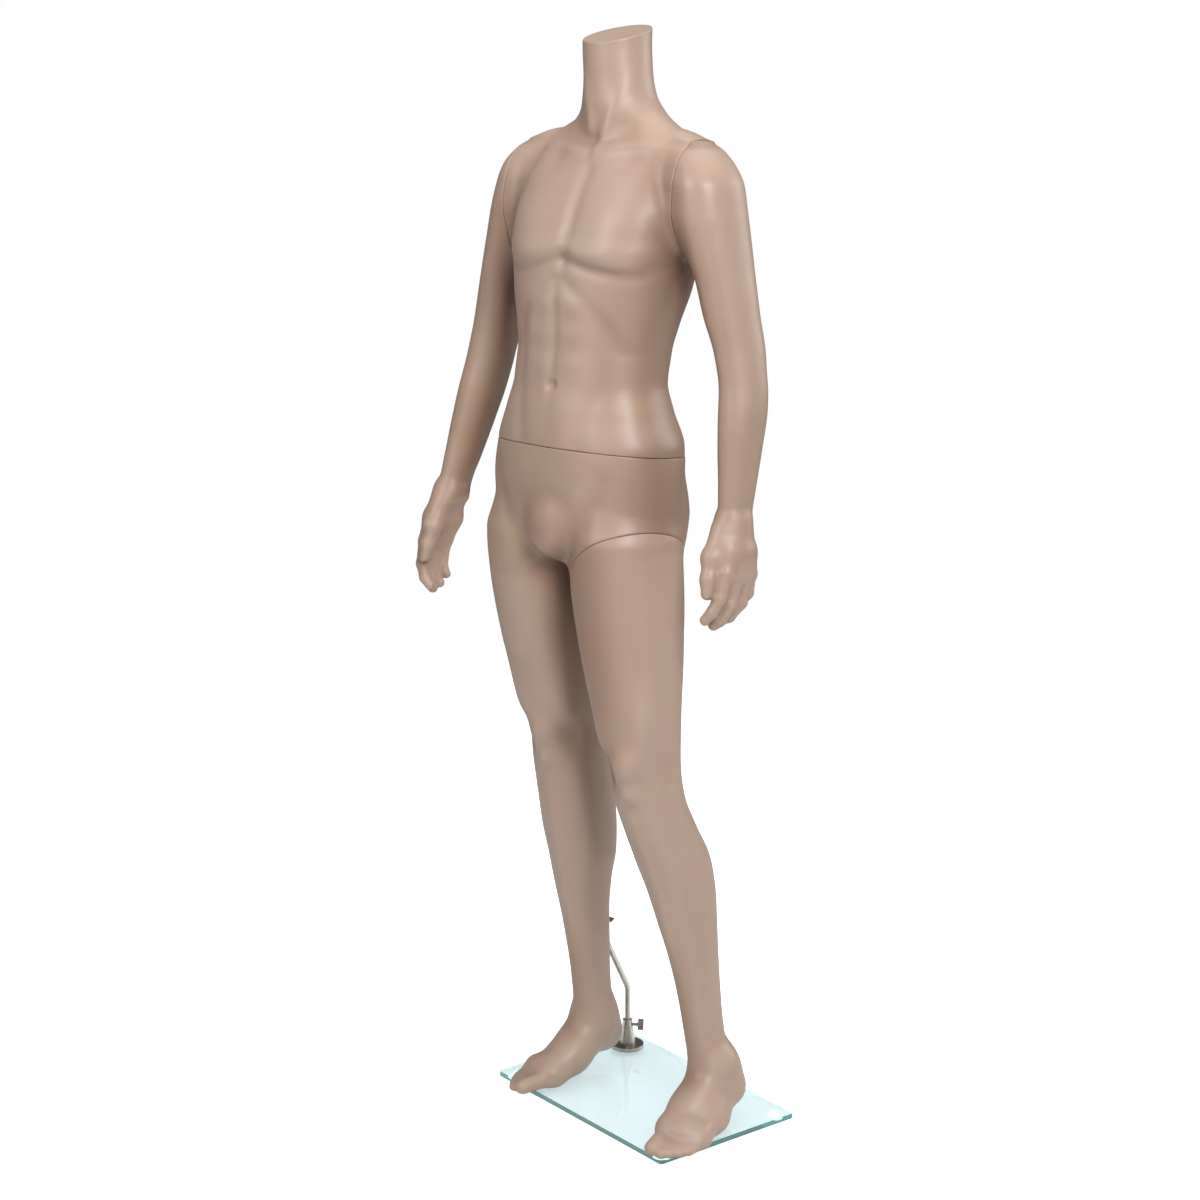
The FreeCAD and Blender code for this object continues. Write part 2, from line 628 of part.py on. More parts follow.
def shell(label, outer, inner, pockets):
    """A hollow shell: its outer form less its cavity and the pockets for its fittings."""
    return subpart(label, cut(f"{label}_cut", outer, inner, *pockets))


glass_base()
socket_top = base_fixing()
rod_end = support_rod(socket_top)
calf_pockets = calf_socket(rod_end)
pelvis_waist_pockets, torso_waist_pockets = waist_fitting()
thigh_carrier, thigh_carried = keyhole_fitting("thigh", thigh)
left_carrier, left_carried = keyhole_fitting("left_shoulder", left_shoulder)
right_carrier, right_carried = keyhole_fitting("right_shoulder", right_shoulder)
doc.recompute()

forms = {form: (body_form(form), body_form(form, inset=True)) for form in BODY_FORMS}
doc.recompute()


def limits(name, *cuts):
    """One half space for each (frame, below, offset)."""
    return [half_space(f"{name}_limit{index}", *each) for index, each in enumerate(cuts)]


upper_outer = fuse("upper_outer", *[forms[form][0] for form in ("torso", "left_arm", "right_arm")])
torso_outer = common("torso_outer_trim", upper_outer, *limits(
    "torso_outer", (waist, False, gap), (neck_top, True, 0), (left_shoulder, True, gap),
    (right_shoulder, True, gap)))
torso_inner = common("torso_inner_trim", forms["torso"][1], *limits(
    "torso_inner", (waist, False, face), (neck_top, True, wall), (left_shoulder, True, face),
    (right_shoulder, True, face)))
shell("torso_shell", torso_outer, torso_inner, torso_waist_pockets + left_carrier + right_carrier)

for side, frame, pockets in (("left", left_shoulder, left_carried), ("right", right_shoulder, right_carried)):
    outer, inner = forms[f"{side}_arm"]
    arm_outer = common(f"{side}_arm_outer_trim", outer, *limits(f"{side}_arm_outer", (frame, False, gap)))
    wrist = Placement(Vector(0, 0, value(f"{side}_arm_wrist_z")), Rotation())
    arm_inner = common(f"{side}_arm_inner_trim", inner, *limits(
        f"{side}_arm_inner", (frame, False, face), (wrist, False, 0)))
    shell(f"{side}_arm_shell", arm_outer, arm_inner, pockets)

lower_outer = fuse("left_lower_outer", forms["pelvis"][0], forms["left_leg"][0])
lower_inner = forms["left_leg"][1]
instep = Placement(Vector(0, 0, value("left_leg_instep_z")), Rotation())
sole = Placement(Vector(0, 0, value("bumper_height") + value("glass_thickness") + value("sole_gap")), Rotation())
left_leg_outer = common("left_leg_outer_trim", lower_outer, *limits(
    "left_leg_outer", (thigh, False, gap), (leg_split, False, gap), (sole, False, 0)))
left_leg_inner = common("left_leg_inner_trim", lower_inner, *limits(
    "left_leg_inner", (thigh, False, face), (leg_split, False, wall), (instep, False, 0)))
shell("left_leg_shell", left_leg_outer, left_leg_inner, thigh_carried)

hip_outer = common("hip_outer_trim", fuse("hip_outer", forms["pelvis"][0], forms["left_leg"][0]), *limits(
    "hip_outer", (waist, True, gap), (thigh, True, gap)))
hip_inner = common("hip_inner_trim", forms["pelvis"][1], *limits(
    "hip_inner", (waist, True, face), (thigh, True, face)))
right_outer = common("right_outer_trim", forms["right_leg"][0], *limits(
    "right_outer", (leg_split, True, gap), (waist, True, gap), (sole, False, 0)))
right_inner = common("right_inner_trim", forms["right_leg"][1], *limits(
    "right_inner", (leg_split, True, wall), (instep, False, 0)))
shell("pelvis_right_leg_shell", fuse("pelvis_right_outer", hip_outer, right_outer),
      fuse("pelvis_right_inner", hip_inner, right_inner),
      pelvis_waist_pockets + thigh_carrier + calf_pockets)

doc.recompute()

# ---------------------------------------------------------------------------------------------------------
# Checks and export
# ---------------------------------------------------------------------------------------------------------

failed = [item.Name for item in doc.Objects if {"Invalid", "Error"} & set(item.State)]
if failed:
    raise RuntimeError(f"failed objects: {failed}")
for piece in subparts:
    if piece.Shape.isNull() or not piece.Shape.isValid() or not piece.Shape.Solids:
        raise RuntimeError(f"{piece.Label} has no valid solid")

os.makedirs("parts", exist_ok=True)
for piece in subparts:
    piece.Shape.exportStep(f"parts/{piece.Label}.step")
    print(f"{piece.Label}: {len(piece.Shape.Solids)} solid(s), {piece.Shape.Volume / 1000:.1f} cm3")
print(f"{len(subparts)} sub-parts")
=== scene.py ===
"""Blender scene of the headless display mannequin.

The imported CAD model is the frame. Its metal fittings, rod and glass keep their shapes and get finished
materials. The five body shells are modelled here in numpy as clay: a signed distance on a voxel grid, to
which tubes, capsules and ellipsoids are blended and in which folds are pressed. Each shell is the skin of
that clay, cut at its seam planes. Sculpting is in millimetres; the finished meshes are in metres.
"""
import json
import math

import bmesh
import bpy
import numpy as np
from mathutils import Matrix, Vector

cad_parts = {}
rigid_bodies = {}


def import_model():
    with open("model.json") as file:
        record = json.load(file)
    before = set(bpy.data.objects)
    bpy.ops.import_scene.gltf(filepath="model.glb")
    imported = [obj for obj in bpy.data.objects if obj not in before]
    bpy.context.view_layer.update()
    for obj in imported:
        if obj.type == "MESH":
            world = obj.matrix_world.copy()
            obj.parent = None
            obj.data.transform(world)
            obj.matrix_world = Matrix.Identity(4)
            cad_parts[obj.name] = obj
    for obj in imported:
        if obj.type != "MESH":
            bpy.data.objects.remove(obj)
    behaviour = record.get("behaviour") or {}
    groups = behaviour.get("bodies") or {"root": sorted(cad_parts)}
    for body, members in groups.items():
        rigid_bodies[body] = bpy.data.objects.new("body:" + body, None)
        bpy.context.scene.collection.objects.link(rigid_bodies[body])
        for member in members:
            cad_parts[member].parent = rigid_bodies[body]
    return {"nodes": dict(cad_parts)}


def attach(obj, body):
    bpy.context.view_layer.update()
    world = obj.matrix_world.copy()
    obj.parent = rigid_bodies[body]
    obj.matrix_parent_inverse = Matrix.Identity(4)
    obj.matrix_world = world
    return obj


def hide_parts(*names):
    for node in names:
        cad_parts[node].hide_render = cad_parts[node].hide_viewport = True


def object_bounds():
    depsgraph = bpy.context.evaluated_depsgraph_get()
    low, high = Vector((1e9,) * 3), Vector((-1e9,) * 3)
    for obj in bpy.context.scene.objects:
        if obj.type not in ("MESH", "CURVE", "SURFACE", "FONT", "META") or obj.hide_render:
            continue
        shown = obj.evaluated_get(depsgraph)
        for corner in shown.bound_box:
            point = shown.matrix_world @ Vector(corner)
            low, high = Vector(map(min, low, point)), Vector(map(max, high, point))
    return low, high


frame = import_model()
cad_low, cad_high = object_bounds()

MM = 0.001              # the frame is in metres, the sculpting in millimetres
COARSE = 1.0
FAR = 80.0              # the distance that a voxel holds before any clay comes near it
MARGIN = 12             # how far past a limb or an egg, beyond its blend, voxels are worked out
TUBE_REACH = 45         # the same for a tube
SWELL_REACH = 2.4       # the same for a swelling, in radii
LINE_REACH = 2.5        # the same for a drawn line, in widths
TURN_SOFTNESS = 6       # how gently a drawn line fades out from the front to the back
TINY = 1e-6             # keeps a length from being divided by zero


# ---------------------------------------------------------------------------------------------------------
# Clay: a signed distance on a voxel grid
# ---------------------------------------------------------------------------------------------------------

class Clay:
    """A block of voxels that holds the distance to the modelled surface, negative inside it."""

    def __init__(self, low, high, step):
        self.low = np.array(low, np.float32)
        self.step = float(step)
        counts = [int((top - bottom) / step) + 2 for bottom, top in zip(low, high)]
        self.axes = [
            (bottom + step * np.arange(count)).astype(np.float32)
            for bottom, count in zip(low, counts)
        ]
        self.field = np.full(counts, FAR, np.float32)

    def part(self, low, high):
        """The slices and coordinates of the voxels between two corners, or None outside the block."""
        cuts = []
        for axis, (bottom, top) in enumerate(zip(low, high)):
            first = int(np.searchsorted(self.axes[axis], bottom))
            last = int(np.searchsorted(self.axes[axis], top))
            if first >= last:
                return None
            cuts.append(slice(first, last))
        x = self.axes[0][cuts[0]][:, None, None]
        y = self.axes[1][cuts[1]][None, :, None]
        z = self.axes[2][cuts[2]][None, None, :]
        return tuple(cuts), x, y, z

    def join(self, cuts, distance, blend):
        """Add a shape with a fillet of about the blend length."""
        old = self.field[cuts]
        overlap = np.maximum(blend - np.abs(old - distance), 0) / blend
        self.field[cuts] = np.minimum(old, distance) - overlap * overlap * blend / 4

    def tube(self, sections, blend):
        """A form through level sections: z, x, y, half width, half depth to the front and to the back,
        squareness (2 is an ellipse)."""
        table = np.array(sections, float)
        table = table[np.argsort(table[:, 0])]
        low = (table[:, 1] - table[:, 3]).min(), (table[:, 2] - table[:, 4]).min(), table[0, 0]
        high = (table[:, 1] + table[:, 3]).max(), (table[:, 2] + table[:, 5]).max(), table[-1, 0]
        found = self.part([v - TUBE_REACH for v in low], [v + TUBE_REACH for v in high])
        if found is None:
            return
        cuts, x, y, z = found
        cx, cy, wide, front, back, power = [
            smooth_curve(table[:, 0], table[:, column], z[0, 0])[None, None, :].astype(np.float32)
            for column in range(1, 7)
        ]
        across = np.abs(x - cx) / wide
        deep = np.where(y < cy, (cy - y) / front, (y - cy) / back)
        ring = (across ** power + deep ** power) ** (1 / power)
        distance = (ring - 1) * np.minimum(wide, np.minimum(front, back))
        ends = np.maximum(table[0, 0] - z, z - table[-1, 0])
        self.join(cuts, np.maximum(distance, ends), blend)

    def limb(self, points, blend):
        """A chain of round cones through (x, y, z, radius)."""
        points = np.array(points, np.float32)
        for start, end in zip(points[:-1], points[1:]):
            reach = max(start[3], end[3]) + MARGIN + blend
            found = self.part(np.minimum(start[:3], end[:3]) - reach, np.maximum(start[:3], end[:3]) + reach)
            if found is None:
                continue
            cuts, x, y, z = found
            way = end[:3] - start[:3]
            along = ((x - start[0]) * way[0] + (y - start[1]) * way[1] + (z - start[2]) * way[2])
            along = np.clip(along / max(float(way @ way), TINY), 0, 1)
            gap = np.sqrt((x - start[0] - along * way[0]) ** 2 + (y - start[1] - along * way[1]) ** 2
                          + (z - start[2] - along * way[2]) ** 2)
            self.join(cuts, gap - (start[3] + (end[3] - start[3]) * along), blend)

    def egg(self, centre, radii, blend):
        """An ellipsoid."""
        radii = np.array(radii, np.float32)
        reach = float(radii.max()) + MARGIN + blend
        found = self.part([c - reach for c in centre], [c + reach for c in centre])
        if found is None:
            return
        cuts, x, y, z = found
        offsets = x - centre[0], y - centre[1], z - centre[2]
        ring = np.sqrt(sum((part / radius) ** 2 for part, radius in zip(offsets, radii))) + TINY
        slope = np.sqrt(sum((part / radius ** 2) ** 2 for part, radius in zip(offsets, radii))) + TINY
        self.join(cuts, ring * (ring - 1) / slope, blend)

    def swell(self, centre, radii, height):
        """Push the surface out by height near a point, or in if height is negative."""
        reach = SWELL_REACH * max(radii)
        found = self.part([c - reach for c in centre], [c + reach for c in centre])
        if found is None:
            return
        cuts, x, y, z = found
        offsets = x - centre[0], y - centre[1], z - centre[2]
        near = sum((part / radius) ** 2 for part, radius in zip(offsets, radii))
        self.field[cuts] -= (height * np.exp(-near)).astype(np.float32)

    def draw(self, points, width, height, side=-1, middle=-70, fade=0):
        """Raise or sink a line through (x, z) points, on the front (side -1) or the back (side 1).

        middle is the y at which the front turns into the back. fade is the share of the height that has
        gone by the line's last point.
        """
        points = np.array(points, np.float32)
        reach = LINE_REACH * width
        low = points.min(0) - reach
        high = points.max(0) + reach
        found = self.part((low[0], -math.inf, low[1]), (high[0], math.inf, high[1]))
        if found is None:
            return
        cuts, x, y, z = found
        mark = np.zeros((x.shape[0], 1, z.shape[2]), np.float32)
        lengths = np.hypot(*(points[1:] - points[:-1]).T)
        walked = 0.0
        for start, end, length in zip(points[:-1], points[1:], lengths):
            way = end - start
            along = np.clip(((x - start[0]) * way[0] + (z - start[1]) * way[1]) / float(way @ way), 0, 1)
            gap = (x - start[0] - along * way[0]) ** 2 + (z - start[1] - along * way[1]) ** 2
            strength = 1 - fade * (walked + along * length) / lengths.sum()
            mark = np.maximum(mark, strength * np.exp(-gap / width ** 2))
            walked += length
        facing = 1 / (1 + np.exp(-side * (y - middle) / TURN_SOFTNESS))
        self.field[cuts] -= (height * mark * facing).astype(np.float32)

    def dent(self, point, width, height):
        """A round swelling or hollow on the front, at an (x, z) point."""
        self.draw([point, (point[0], point[1] + 0.1)], width, height)

    def skin(self):
        """The surface as a quad mesh: one point in each voxel that the surface crosses (surface nets)."""
        field, shape = self.field, self.field.shape
        inside = field < 0
        cells, places, faces = [], [], []
        for axis in range(3):
            ahead = [slice(None)] * 3
            behind = [slice(None)] * 3
            ahead[axis] = slice(1, None)
            behind[axis] = slice(None, -1)
            crossing = np.argwhere(inside[tuple(ahead)] != inside[tuple(behind)])
            crossing = crossing[(crossing > 0).all(1) & (crossing < np.array(shape) - 2).all(1)]
            here = field[tuple(crossing.T)]
            beyond = crossing.copy()
            beyond[:, axis] += 1
            share = here / (here - field[tuple(beyond.T)])
            place = crossing.astype(np.float32)
            place[:, axis] += share
            side = (axis + 1) % 3
            up = (axis + 2) % 3
            ring = []
            for back_side, back_up in ((0, 0), (1, 0), (1, 1), (0, 1)):
                cell = crossing.copy()
                cell[:, side] -= back_side
                cell[:, up] -= back_up
                number = np.ravel_multi_index(cell.T, shape)
                ring.append(number)
                cells.append(number)
                places.append(place)
            quad = np.stack(ring, 1)
            leaving = here < 0
            quad[~leaving] = quad[~leaving][:, ::-1]
            faces.append(quad)
        numbers, index = np.unique(np.concatenate(cells), return_inverse=True)
        places = np.concatenate(places)
        points = np.stack([np.bincount(index, places[:, axis]) for axis in range(3)], 1)
        points /= np.bincount(index)[:, None]
        faces = np.searchsorted(numbers, np.concatenate(faces))
        return points * self.step + self.low, faces


def smooth_curve(knots, values, at):
    """Cubic through the knots that doesn't overshoot them (monotone Hermite)."""
    steps = np.diff(knots)
    slopes = np.diff(values) / steps
    tangents = np.zeros(len(knots))
    same_way = slopes[:-1] * slopes[1:] > 0
    first = 2 * steps[1:] + steps[:-1]
    second = steps[1:] + 2 * steps[:-1]
    with np.errstate(divide="ignore", invalid="ignore"):
        mean = (first + second) / (first / slopes[:-1] + second / slopes[1:])
    tangents[1:-1] = np.where(same_way, mean, 0)
    tangents[0] = slopes[0]
    tangents[-1] = slopes[-1]
    at = np.clip(at, knots[0], knots[-1])
    place = np.clip(np.searchsorted(knots, at) - 1, 0, len(knots) - 2)
    step = steps[place]
    share = (at - knots[place]) / step
    return (
        values[place] * (1 + 2 * share) * (1 - share) ** 2
        + tangents[place] * step * share * (1 - share) ** 2
        + values[place + 1] * share ** 2 * (3 - 2 * share)
        + tangents[place + 1] * step * share ** 2 * (share - 1)
    )


# ---------------------------------------------------------------------------------------------------------
# Body measures, in millimetres. Tubes: z, centre x, centre y, half width, front, back, squareness.
# ---------------------------------------------------------------------------------------------------------

TORSO = [
    (960, -26, -92, 154, 100, 105, 2.25),
    (1030, -25, -90, 148, 99, 106, 2.3),
    (1080, -27, -88, 130, 95, 98, 2.2),
    (1120, -27, -85, 120, 91, 90, 2.15),
    (1160, -26, -79, 121, 92, 90, 2.15),
    (1200, -25, -73, 128, 96, 95, 2.15),
    (1250, -23, -66, 140, 101, 102, 2.2),
    (1310, -21, -60, 146, 101, 109, 2.2),
    (1355, -20, -57, 146, 92, 108, 2.3),
    (1395, -19, -53, 142, 80, 98, 2.3),
    (1420, -16, -47, 140, 72, 82, 2.25),
    (1440, -12, -40, 137, 67, 66, 2.15),
    (1454, -8, -34, 121, 62, 56, 2.05),
    (1472, -10, -34, 89, 60, 52, 2),
    (1490, -11, -36, 67, 56, 49, 2),
    (1510, -14, -40, 55, 51, 49, 2),
    (1545, -17, -42, 48.5, 47, 50, 2),
    (1580, -20, -41, 48.5, 47, 50, 2),
    (1625, -21, -40, 49.5, 48, 51, 2),
]
PELVIS = [
    (1060, -25, -89, 139, 98, 105, 2.3),
    (1030, -25, -90, 148, 100, 107, 2.3),
    (980, -26, -92, 155, 101, 103, 2.25),
    (935, -26, -92, 156, 97, 98, 2.2),
    (900, -26, -94, 146, 89, 86, 2.2),
    (872, -26, -98, 114, 68, 60, 2.2),
]
LEFT_LEG = [
    (970, 44, -98, 34, 50, 46, 2.1),
    (935, 56, -99, 58, 76, 66, 2.1),
    (900, 62, -100, 74, 90, 76, 2.1),
    (840, 66, -100, 73, 92, 78, 2.1),
    (740, 78, -101, 66, 86, 70, 2.1),
    (640, 94, -104, 57, 71, 54, 2.1),
    (575, 103, -103, 51, 59, 46, 2.1),
    (530, 106, -97, 49, 55, 48, 2.1),
    (480, 109, -82, 49, 52, 57, 2.1),
    (430, 113, -64, 50, 50, 65, 2.1),
    (380, 118, -50, 46, 46, 61, 2.05),
    (330, 123, -40, 40, 43, 53, 2),
    (280, 128, -31, 33, 39, 45, 2),
    (220, 132, -22, 27, 35, 40, 2),
    (170, 135, -15, 24.5, 34, 37, 2),
    (125, 138, -9, 25, 33, 36, 2),
    (92, 141, -6, 26, 32, 34, 2),
]
RIGHT_LEG = [
    (970, -92, -98, 36, 52, 48, 2.1),
    (935, -102, -99, 62, 78, 72, 2.1),
    (900, -106, -99, 78, 90, 82, 2.1),
    (840, -106, -92, 78, 94, 88, 2.1),
    (740, -107, -78, 72, 88, 84, 2.1),
    (640, -107, -62, 64, 73, 73, 2.1),
    (575, -106, -52, 58, 63, 66, 2.1),
    (530, -107, -46, 56, 59, 63, 2.1),
    (480, -108, -40, 55, 55, 64, 2.1),
    (430, -110, -34, 53, 51, 66, 2.1),
    (380, -112, -26, 49, 46, 62, 2.05),
    (330, -116, -18, 41, 43, 51, 2),
    (280, -118, -10, 34, 39, 43, 2),
    (220, -118, -3, 28, 35, 40, 2),
    (170, -120, 4, 25, 33, 37, 2),
    (125, -121, 9, 25, 32, 36, 2),
    (92, -122, 12, 26, 32, 34, 2),
]
LEFT_ARM = [
    (1449, 132, -34, 14, 18, 18, 2),
    (1440, 138, -36, 26, 34, 32, 2.05),
    (1420, 146, -39, 40, 47, 45, 2.1),
    (1395, 153, -41, 48, 54, 52, 2.1),
    (1360, 158, -41, 49, 56, 54, 2.1),
    (1320, 170, -40, 43, 51, 52, 2.1),
    (1270, 184, -37, 36, 46, 47, 2.1),
    (1220, 194, -34, 34, 43, 44, 2.1),
    (1170, 206, -30, 31, 39, 40, 2.1),
    (1135, 213, -30, 30, 38, 36, 2.1),
    (1095, 218, -34, 30, 39, 36, 2.1),
    (1040, 220, -42, 27, 35, 33, 2.1),
    (990, 221, -48, 23, 30, 29, 2.1),
    (950, 222, -54, 20, 28, 27, 2.1),
    (928, 222, -58, 20, 28, 27, 2.1),
]
RIGHT_ARM = [
    (1448, -160, -46, 14, 18, 18, 2),
    (1438, -164, -49, 28, 34, 32, 2.05),
    (1418, -172, -54, 40, 46, 44, 2.1),
    (1392, -177, -58, 43, 52, 50, 2.1),
    (1358, -184, -61, 44, 54, 52, 2.1),
    (1317, -200, -62, 40, 49, 50, 2.1),
    (1267, -216, -64, 36, 45, 46, 2.1),
    (1217, -228, -66, 34, 43, 44, 2.1),
    (1167, -239, -72, 32, 39, 40, 2.1),
    (1132, -244, -78, 32, 39, 37, 2.1),
    (1092, -249, -88, 31, 40, 37, 2.1),
    (1037, -254, -106, 28, 36, 34, 2.1),
    (987, -257, -124, 24, 31, 30, 2.1),
    (945, -259, -140, 20, 28, 27, 2.1),
    (922, -259, -148, 20, 28, 27, 2.1),
]
MIDLINE = -23           # x of the spine
BREASTBONE = -5         # x of the middle of the chest
NAVEL_X = -16
PELVIS_X = MIDLINE - 3
SOLE = 11.4             # z of the soles, just clear of the glass
SOLE_ROUNDING = 6


def upper_body(clay):
    """Torso, neck and both arms."""
    clay.tube(TORSO, 20)
    chest_relief(clay)
    clay.tube(LEFT_ARM, 26)
    clay.tube(RIGHT_ARM, 26)
    # The slope from the neck to each shoulder.
    clay.limb([(60, -40, 1452, 19), (104, -38, 1437, 19), (138, -38, 1424, 20)], 26)
    clay.limb([(-96, -44, 1449, 17), (-134, -49, 1434, 19), (-168, -54, 1421, 20)], 26)
    hand(clay, LEFT_HAND)
    hand(clay, RIGHT_HAND)


def chest_relief(clay):
    """Chest and belly forms, collar bones, neck cords, navel and back."""
    for side in (-1, 1):
        chest_side(clay, side)
        belly_side(clay, side)
        # Shoulder blade, and the long muscle beside the spine.
        clay.swell((BREASTBONE + side * 78, 44, 1352), (44, 40, 52), 7)
        clay.draw([(NAVEL_X + side * 30, 1020), (NAVEL_X + side * 28, 1140)], 18, 4, side=1)
    # Breastbone, the line from it to the navel, and on below the navel.
    clay.draw([(BREASTBONE + 9, 1408), (BREASTBONE + 8, 1340), (BREASTBONE - 2, 1286)], 12, -4)
    clay.draw([(BREASTBONE - 12, 1266), (NAVEL_X + 1, 1190), (NAVEL_X, 1130)], 8, -1.8)
    clay.draw([(NAVEL_X, 1108), (NAVEL_X - 3, 1030)], 9, -1.2, fade=1)
    clay.dent((NAVEL_X, 1110), 20, 1)
    clay.draw([(NAVEL_X - 2, 1119), (NAVEL_X + 3, 1120)], 6, -6)
    # The notch between the collar bones, and the spine.
    clay.dent((BREASTBONE - 8, 1450), 12, -6)
    spine = [(MIDLINE, 1440), (MIDLINE - 1, 1250), (MIDLINE - 3, 1120), (MIDLINE - 3, 1000)]
    clay.draw(spine, 13, -7, side=1)


def chest_side(clay, side):
    """One half of the chest: its muscle with the fold under it, armpit crease, collar bone and neck cord."""
    def at(*points):
        return [(BREASTBONE + side * x, z) for x, z in points]

    clay.swell((BREASTBONE + side * 78, -140, 1330), (62, 70, 56), 9)
    clay.swell((BREASTBONE + side * 70, -150, 1300), (52, 60, 18), 6)
    clay.draw(at((6, 1293), (34, 1284), (62, 1277), (88, 1272), (106, 1273), (120, 1284)), 9, -5.5, fade=0.6)
    clay.draw(at((6, 1311), (34, 1302), (62, 1295), (88, 1290), (106, 1291), (120, 1302)), 12, 2.5, fade=0.8)
    clay.draw(at((150, 1412), (150, 1375), (152, 1345)), 9, -3, fade=0.6)
    clay.draw(at((12, 1436), (56, 1446), (104, 1450)), 9, 2.5)
    clay.dent(*at((46, 1468)), 18, -4)
    clay.dent(*at((66, 1430)), 22, -4)
    clay.draw(at((8, 1448), (20, 1492), (36, 1540)), 9, 3, middle=-50, fade=0.6)


def belly_side(clay, side):
    """One half of the belly: rib arch, three muscle pads, the groove beside them and the hip bone."""
    def at(*points):
        return [(NAVEL_X + side * x, z) for x, z in points]

    clay.draw(at((12, 1264), (46, 1240), (70, 1215), (96, 1168)), 11, -2.6, fade=0.4)
    for height in (1232, 1190, 1150):
        clay.draw(at((22, height), (42, height)), 18, 2.4)
    clay.draw(at((72, 1200), (70, 1120), (52, 1040)), 15, -2.4)
    clay.swell((NAVEL_X + side * 104, -112, 1075), (34, 34, 44), 4)
    clay.swell((NAVEL_X + side * 122, -100, 1034), (28, 34, 22), 3)


def lower_body(clay):
    """Pelvis and both legs with their feet."""
    clay.tube(PELVIS, 20)
    for side in (-1, 1):
        clay.egg((PELVIS_X + side * 64, -46, 925), (70, 57, 82), 26)
    clay.tube(LEFT_LEG, 22)
    clay.tube(RIGHT_LEG, 22)
    clay.egg((MIDLINE + 11, -177, 918), (34, 27, 40), 24)
    # Groins, and the cleft between the buttocks.
    for side in (-1, 1):
        groin = [(PELVIS_X + side * 100, 990), (PELVIS_X + side * 74, 930), (MIDLINE + side * 40, 884)]
        clay.draw(groin, 15, -3)
    clay.draw([(PELVIS_X + 1, 870), (PELVIS_X, 930), (PELVIS_X, 1000)], 10, -18, side=1, fade=1)
    # The boss on the right calf that takes the rod's socket.
    clay.limb([(-136, 24, 262, 12), (-134, 10, 292, 13)], 18)
    knee(clay, 119, -158, 1)
    knee(clay, -98, -116, -1)
    # Shin bones.
    clay.draw([(112, 510), (122, 380), (130, 230)], 9, 3, middle=-70)
    clay.draw([(-100, 510), (-108, 380), (-116, 230)], 9, 3, middle=-40)
    foot(clay, (140, 56), 12, 1)
    foot(clay, (-120, 70), 6, -1)


def knee(clay, x, y, side):
    """Kneecap, the knob under it, the hollows beside it and the muscles above it."""
    clay.swell((x, y, 590), (20, 30, 25), 15)
    clay.swell((x, y + 2, 545), (15, 28, 15), 9)
    clay.swell((x - side * 36, y + 16, 584), (14, 30, 30), -11)
    clay.swell((x + side * 36, y + 16, 584), (14, 30, 30), -9)
    clay.swell((x - side * 32, y + 12, 634), (24, 28, 36), 8)
    clay.swell((x + side * 30, y + 8, 656), (22, 28, 44), 7)


def foot(clay, heel, heading, side):
    """A foot with a raised heel; heading is how far it turns out in degrees, side +1 for the left.

    Its points are given from under the heel: u ahead, v outward and w up.
    """
    turn = math.radians(heading) * side
    ahead = math.sin(turn), -math.cos(turn)
    outward = math.cos(turn) * side, math.sin(turn) * side

    def place(u, v, w, radius):
        return (heel[0] + ahead[0] * u + outward[0] * v, heel[1] + ahead[1] * u + outward[1] * v,
                SOLE + w, radius)

    # Heel, instep, outer edge, inner edge and ball.
    clay.limb([place(31, 0, 52, 28), place(54, 0, 92, 24)], 26)
    clay.limb([place(52, -2, 84, 29), place(100, -5, 46, 24), place(150, -8, 21, 16)], 24)
    clay.limb([place(44, 8, 46, 20), place(96, 18, 24, 16), place(144, 24, 15, 14)], 28)
    clay.limb([place(62, -12, 60, 20), place(112, -20, 34, 18), place(154, -22, 19, 17)], 28)
    clay.limb([place(154, -22, 17, 17), place(156, 4, 16, 16), place(150, 26, 13, 13)], 20)
    # Toes, from the big one outward: root, length, outward drift and radius.
    for u, v, w, reach, drift, radius in (
        (168, -22, 14, 40, 3, 13.5),
        (174, -4, 12, 38, 1, 9.8),
        (171, 9, 11, 33, -1, 9.2),
        (166, 20, 10.5, 28, -2, 8.7),
        (160, 30, 10, 23, -3, 8.3),
    ):
        clay.limb([place(u, v, w, radius), place(u + reach, v + drift, radius - 2.5, radius - 1.5)], 7)
    # Ankle bones.
    for v, w in ((-26, 100), (26, 88)):
        knob = place(56, v, w, 0)
        clay.swell(knob[:3], (15, 15, 16), 2.5)
    # The flat of the sole.
    found = clay.part((heel[0] - 90, heel[1] - 260, -5), (heel[0] + 90, heel[1] + 40, 60))
    if found:
        cuts, _, _, z = found
        flat = SOLE - z
        old = clay.field[cuts]
        overlap = np.maximum(SOLE_ROUNDING - np.abs(old - flat), 0) / SOLE_ROUNDING
        clay.field[cuts] = np.maximum(old, flat) + overlap * overlap * SOLE_ROUNDING / 4


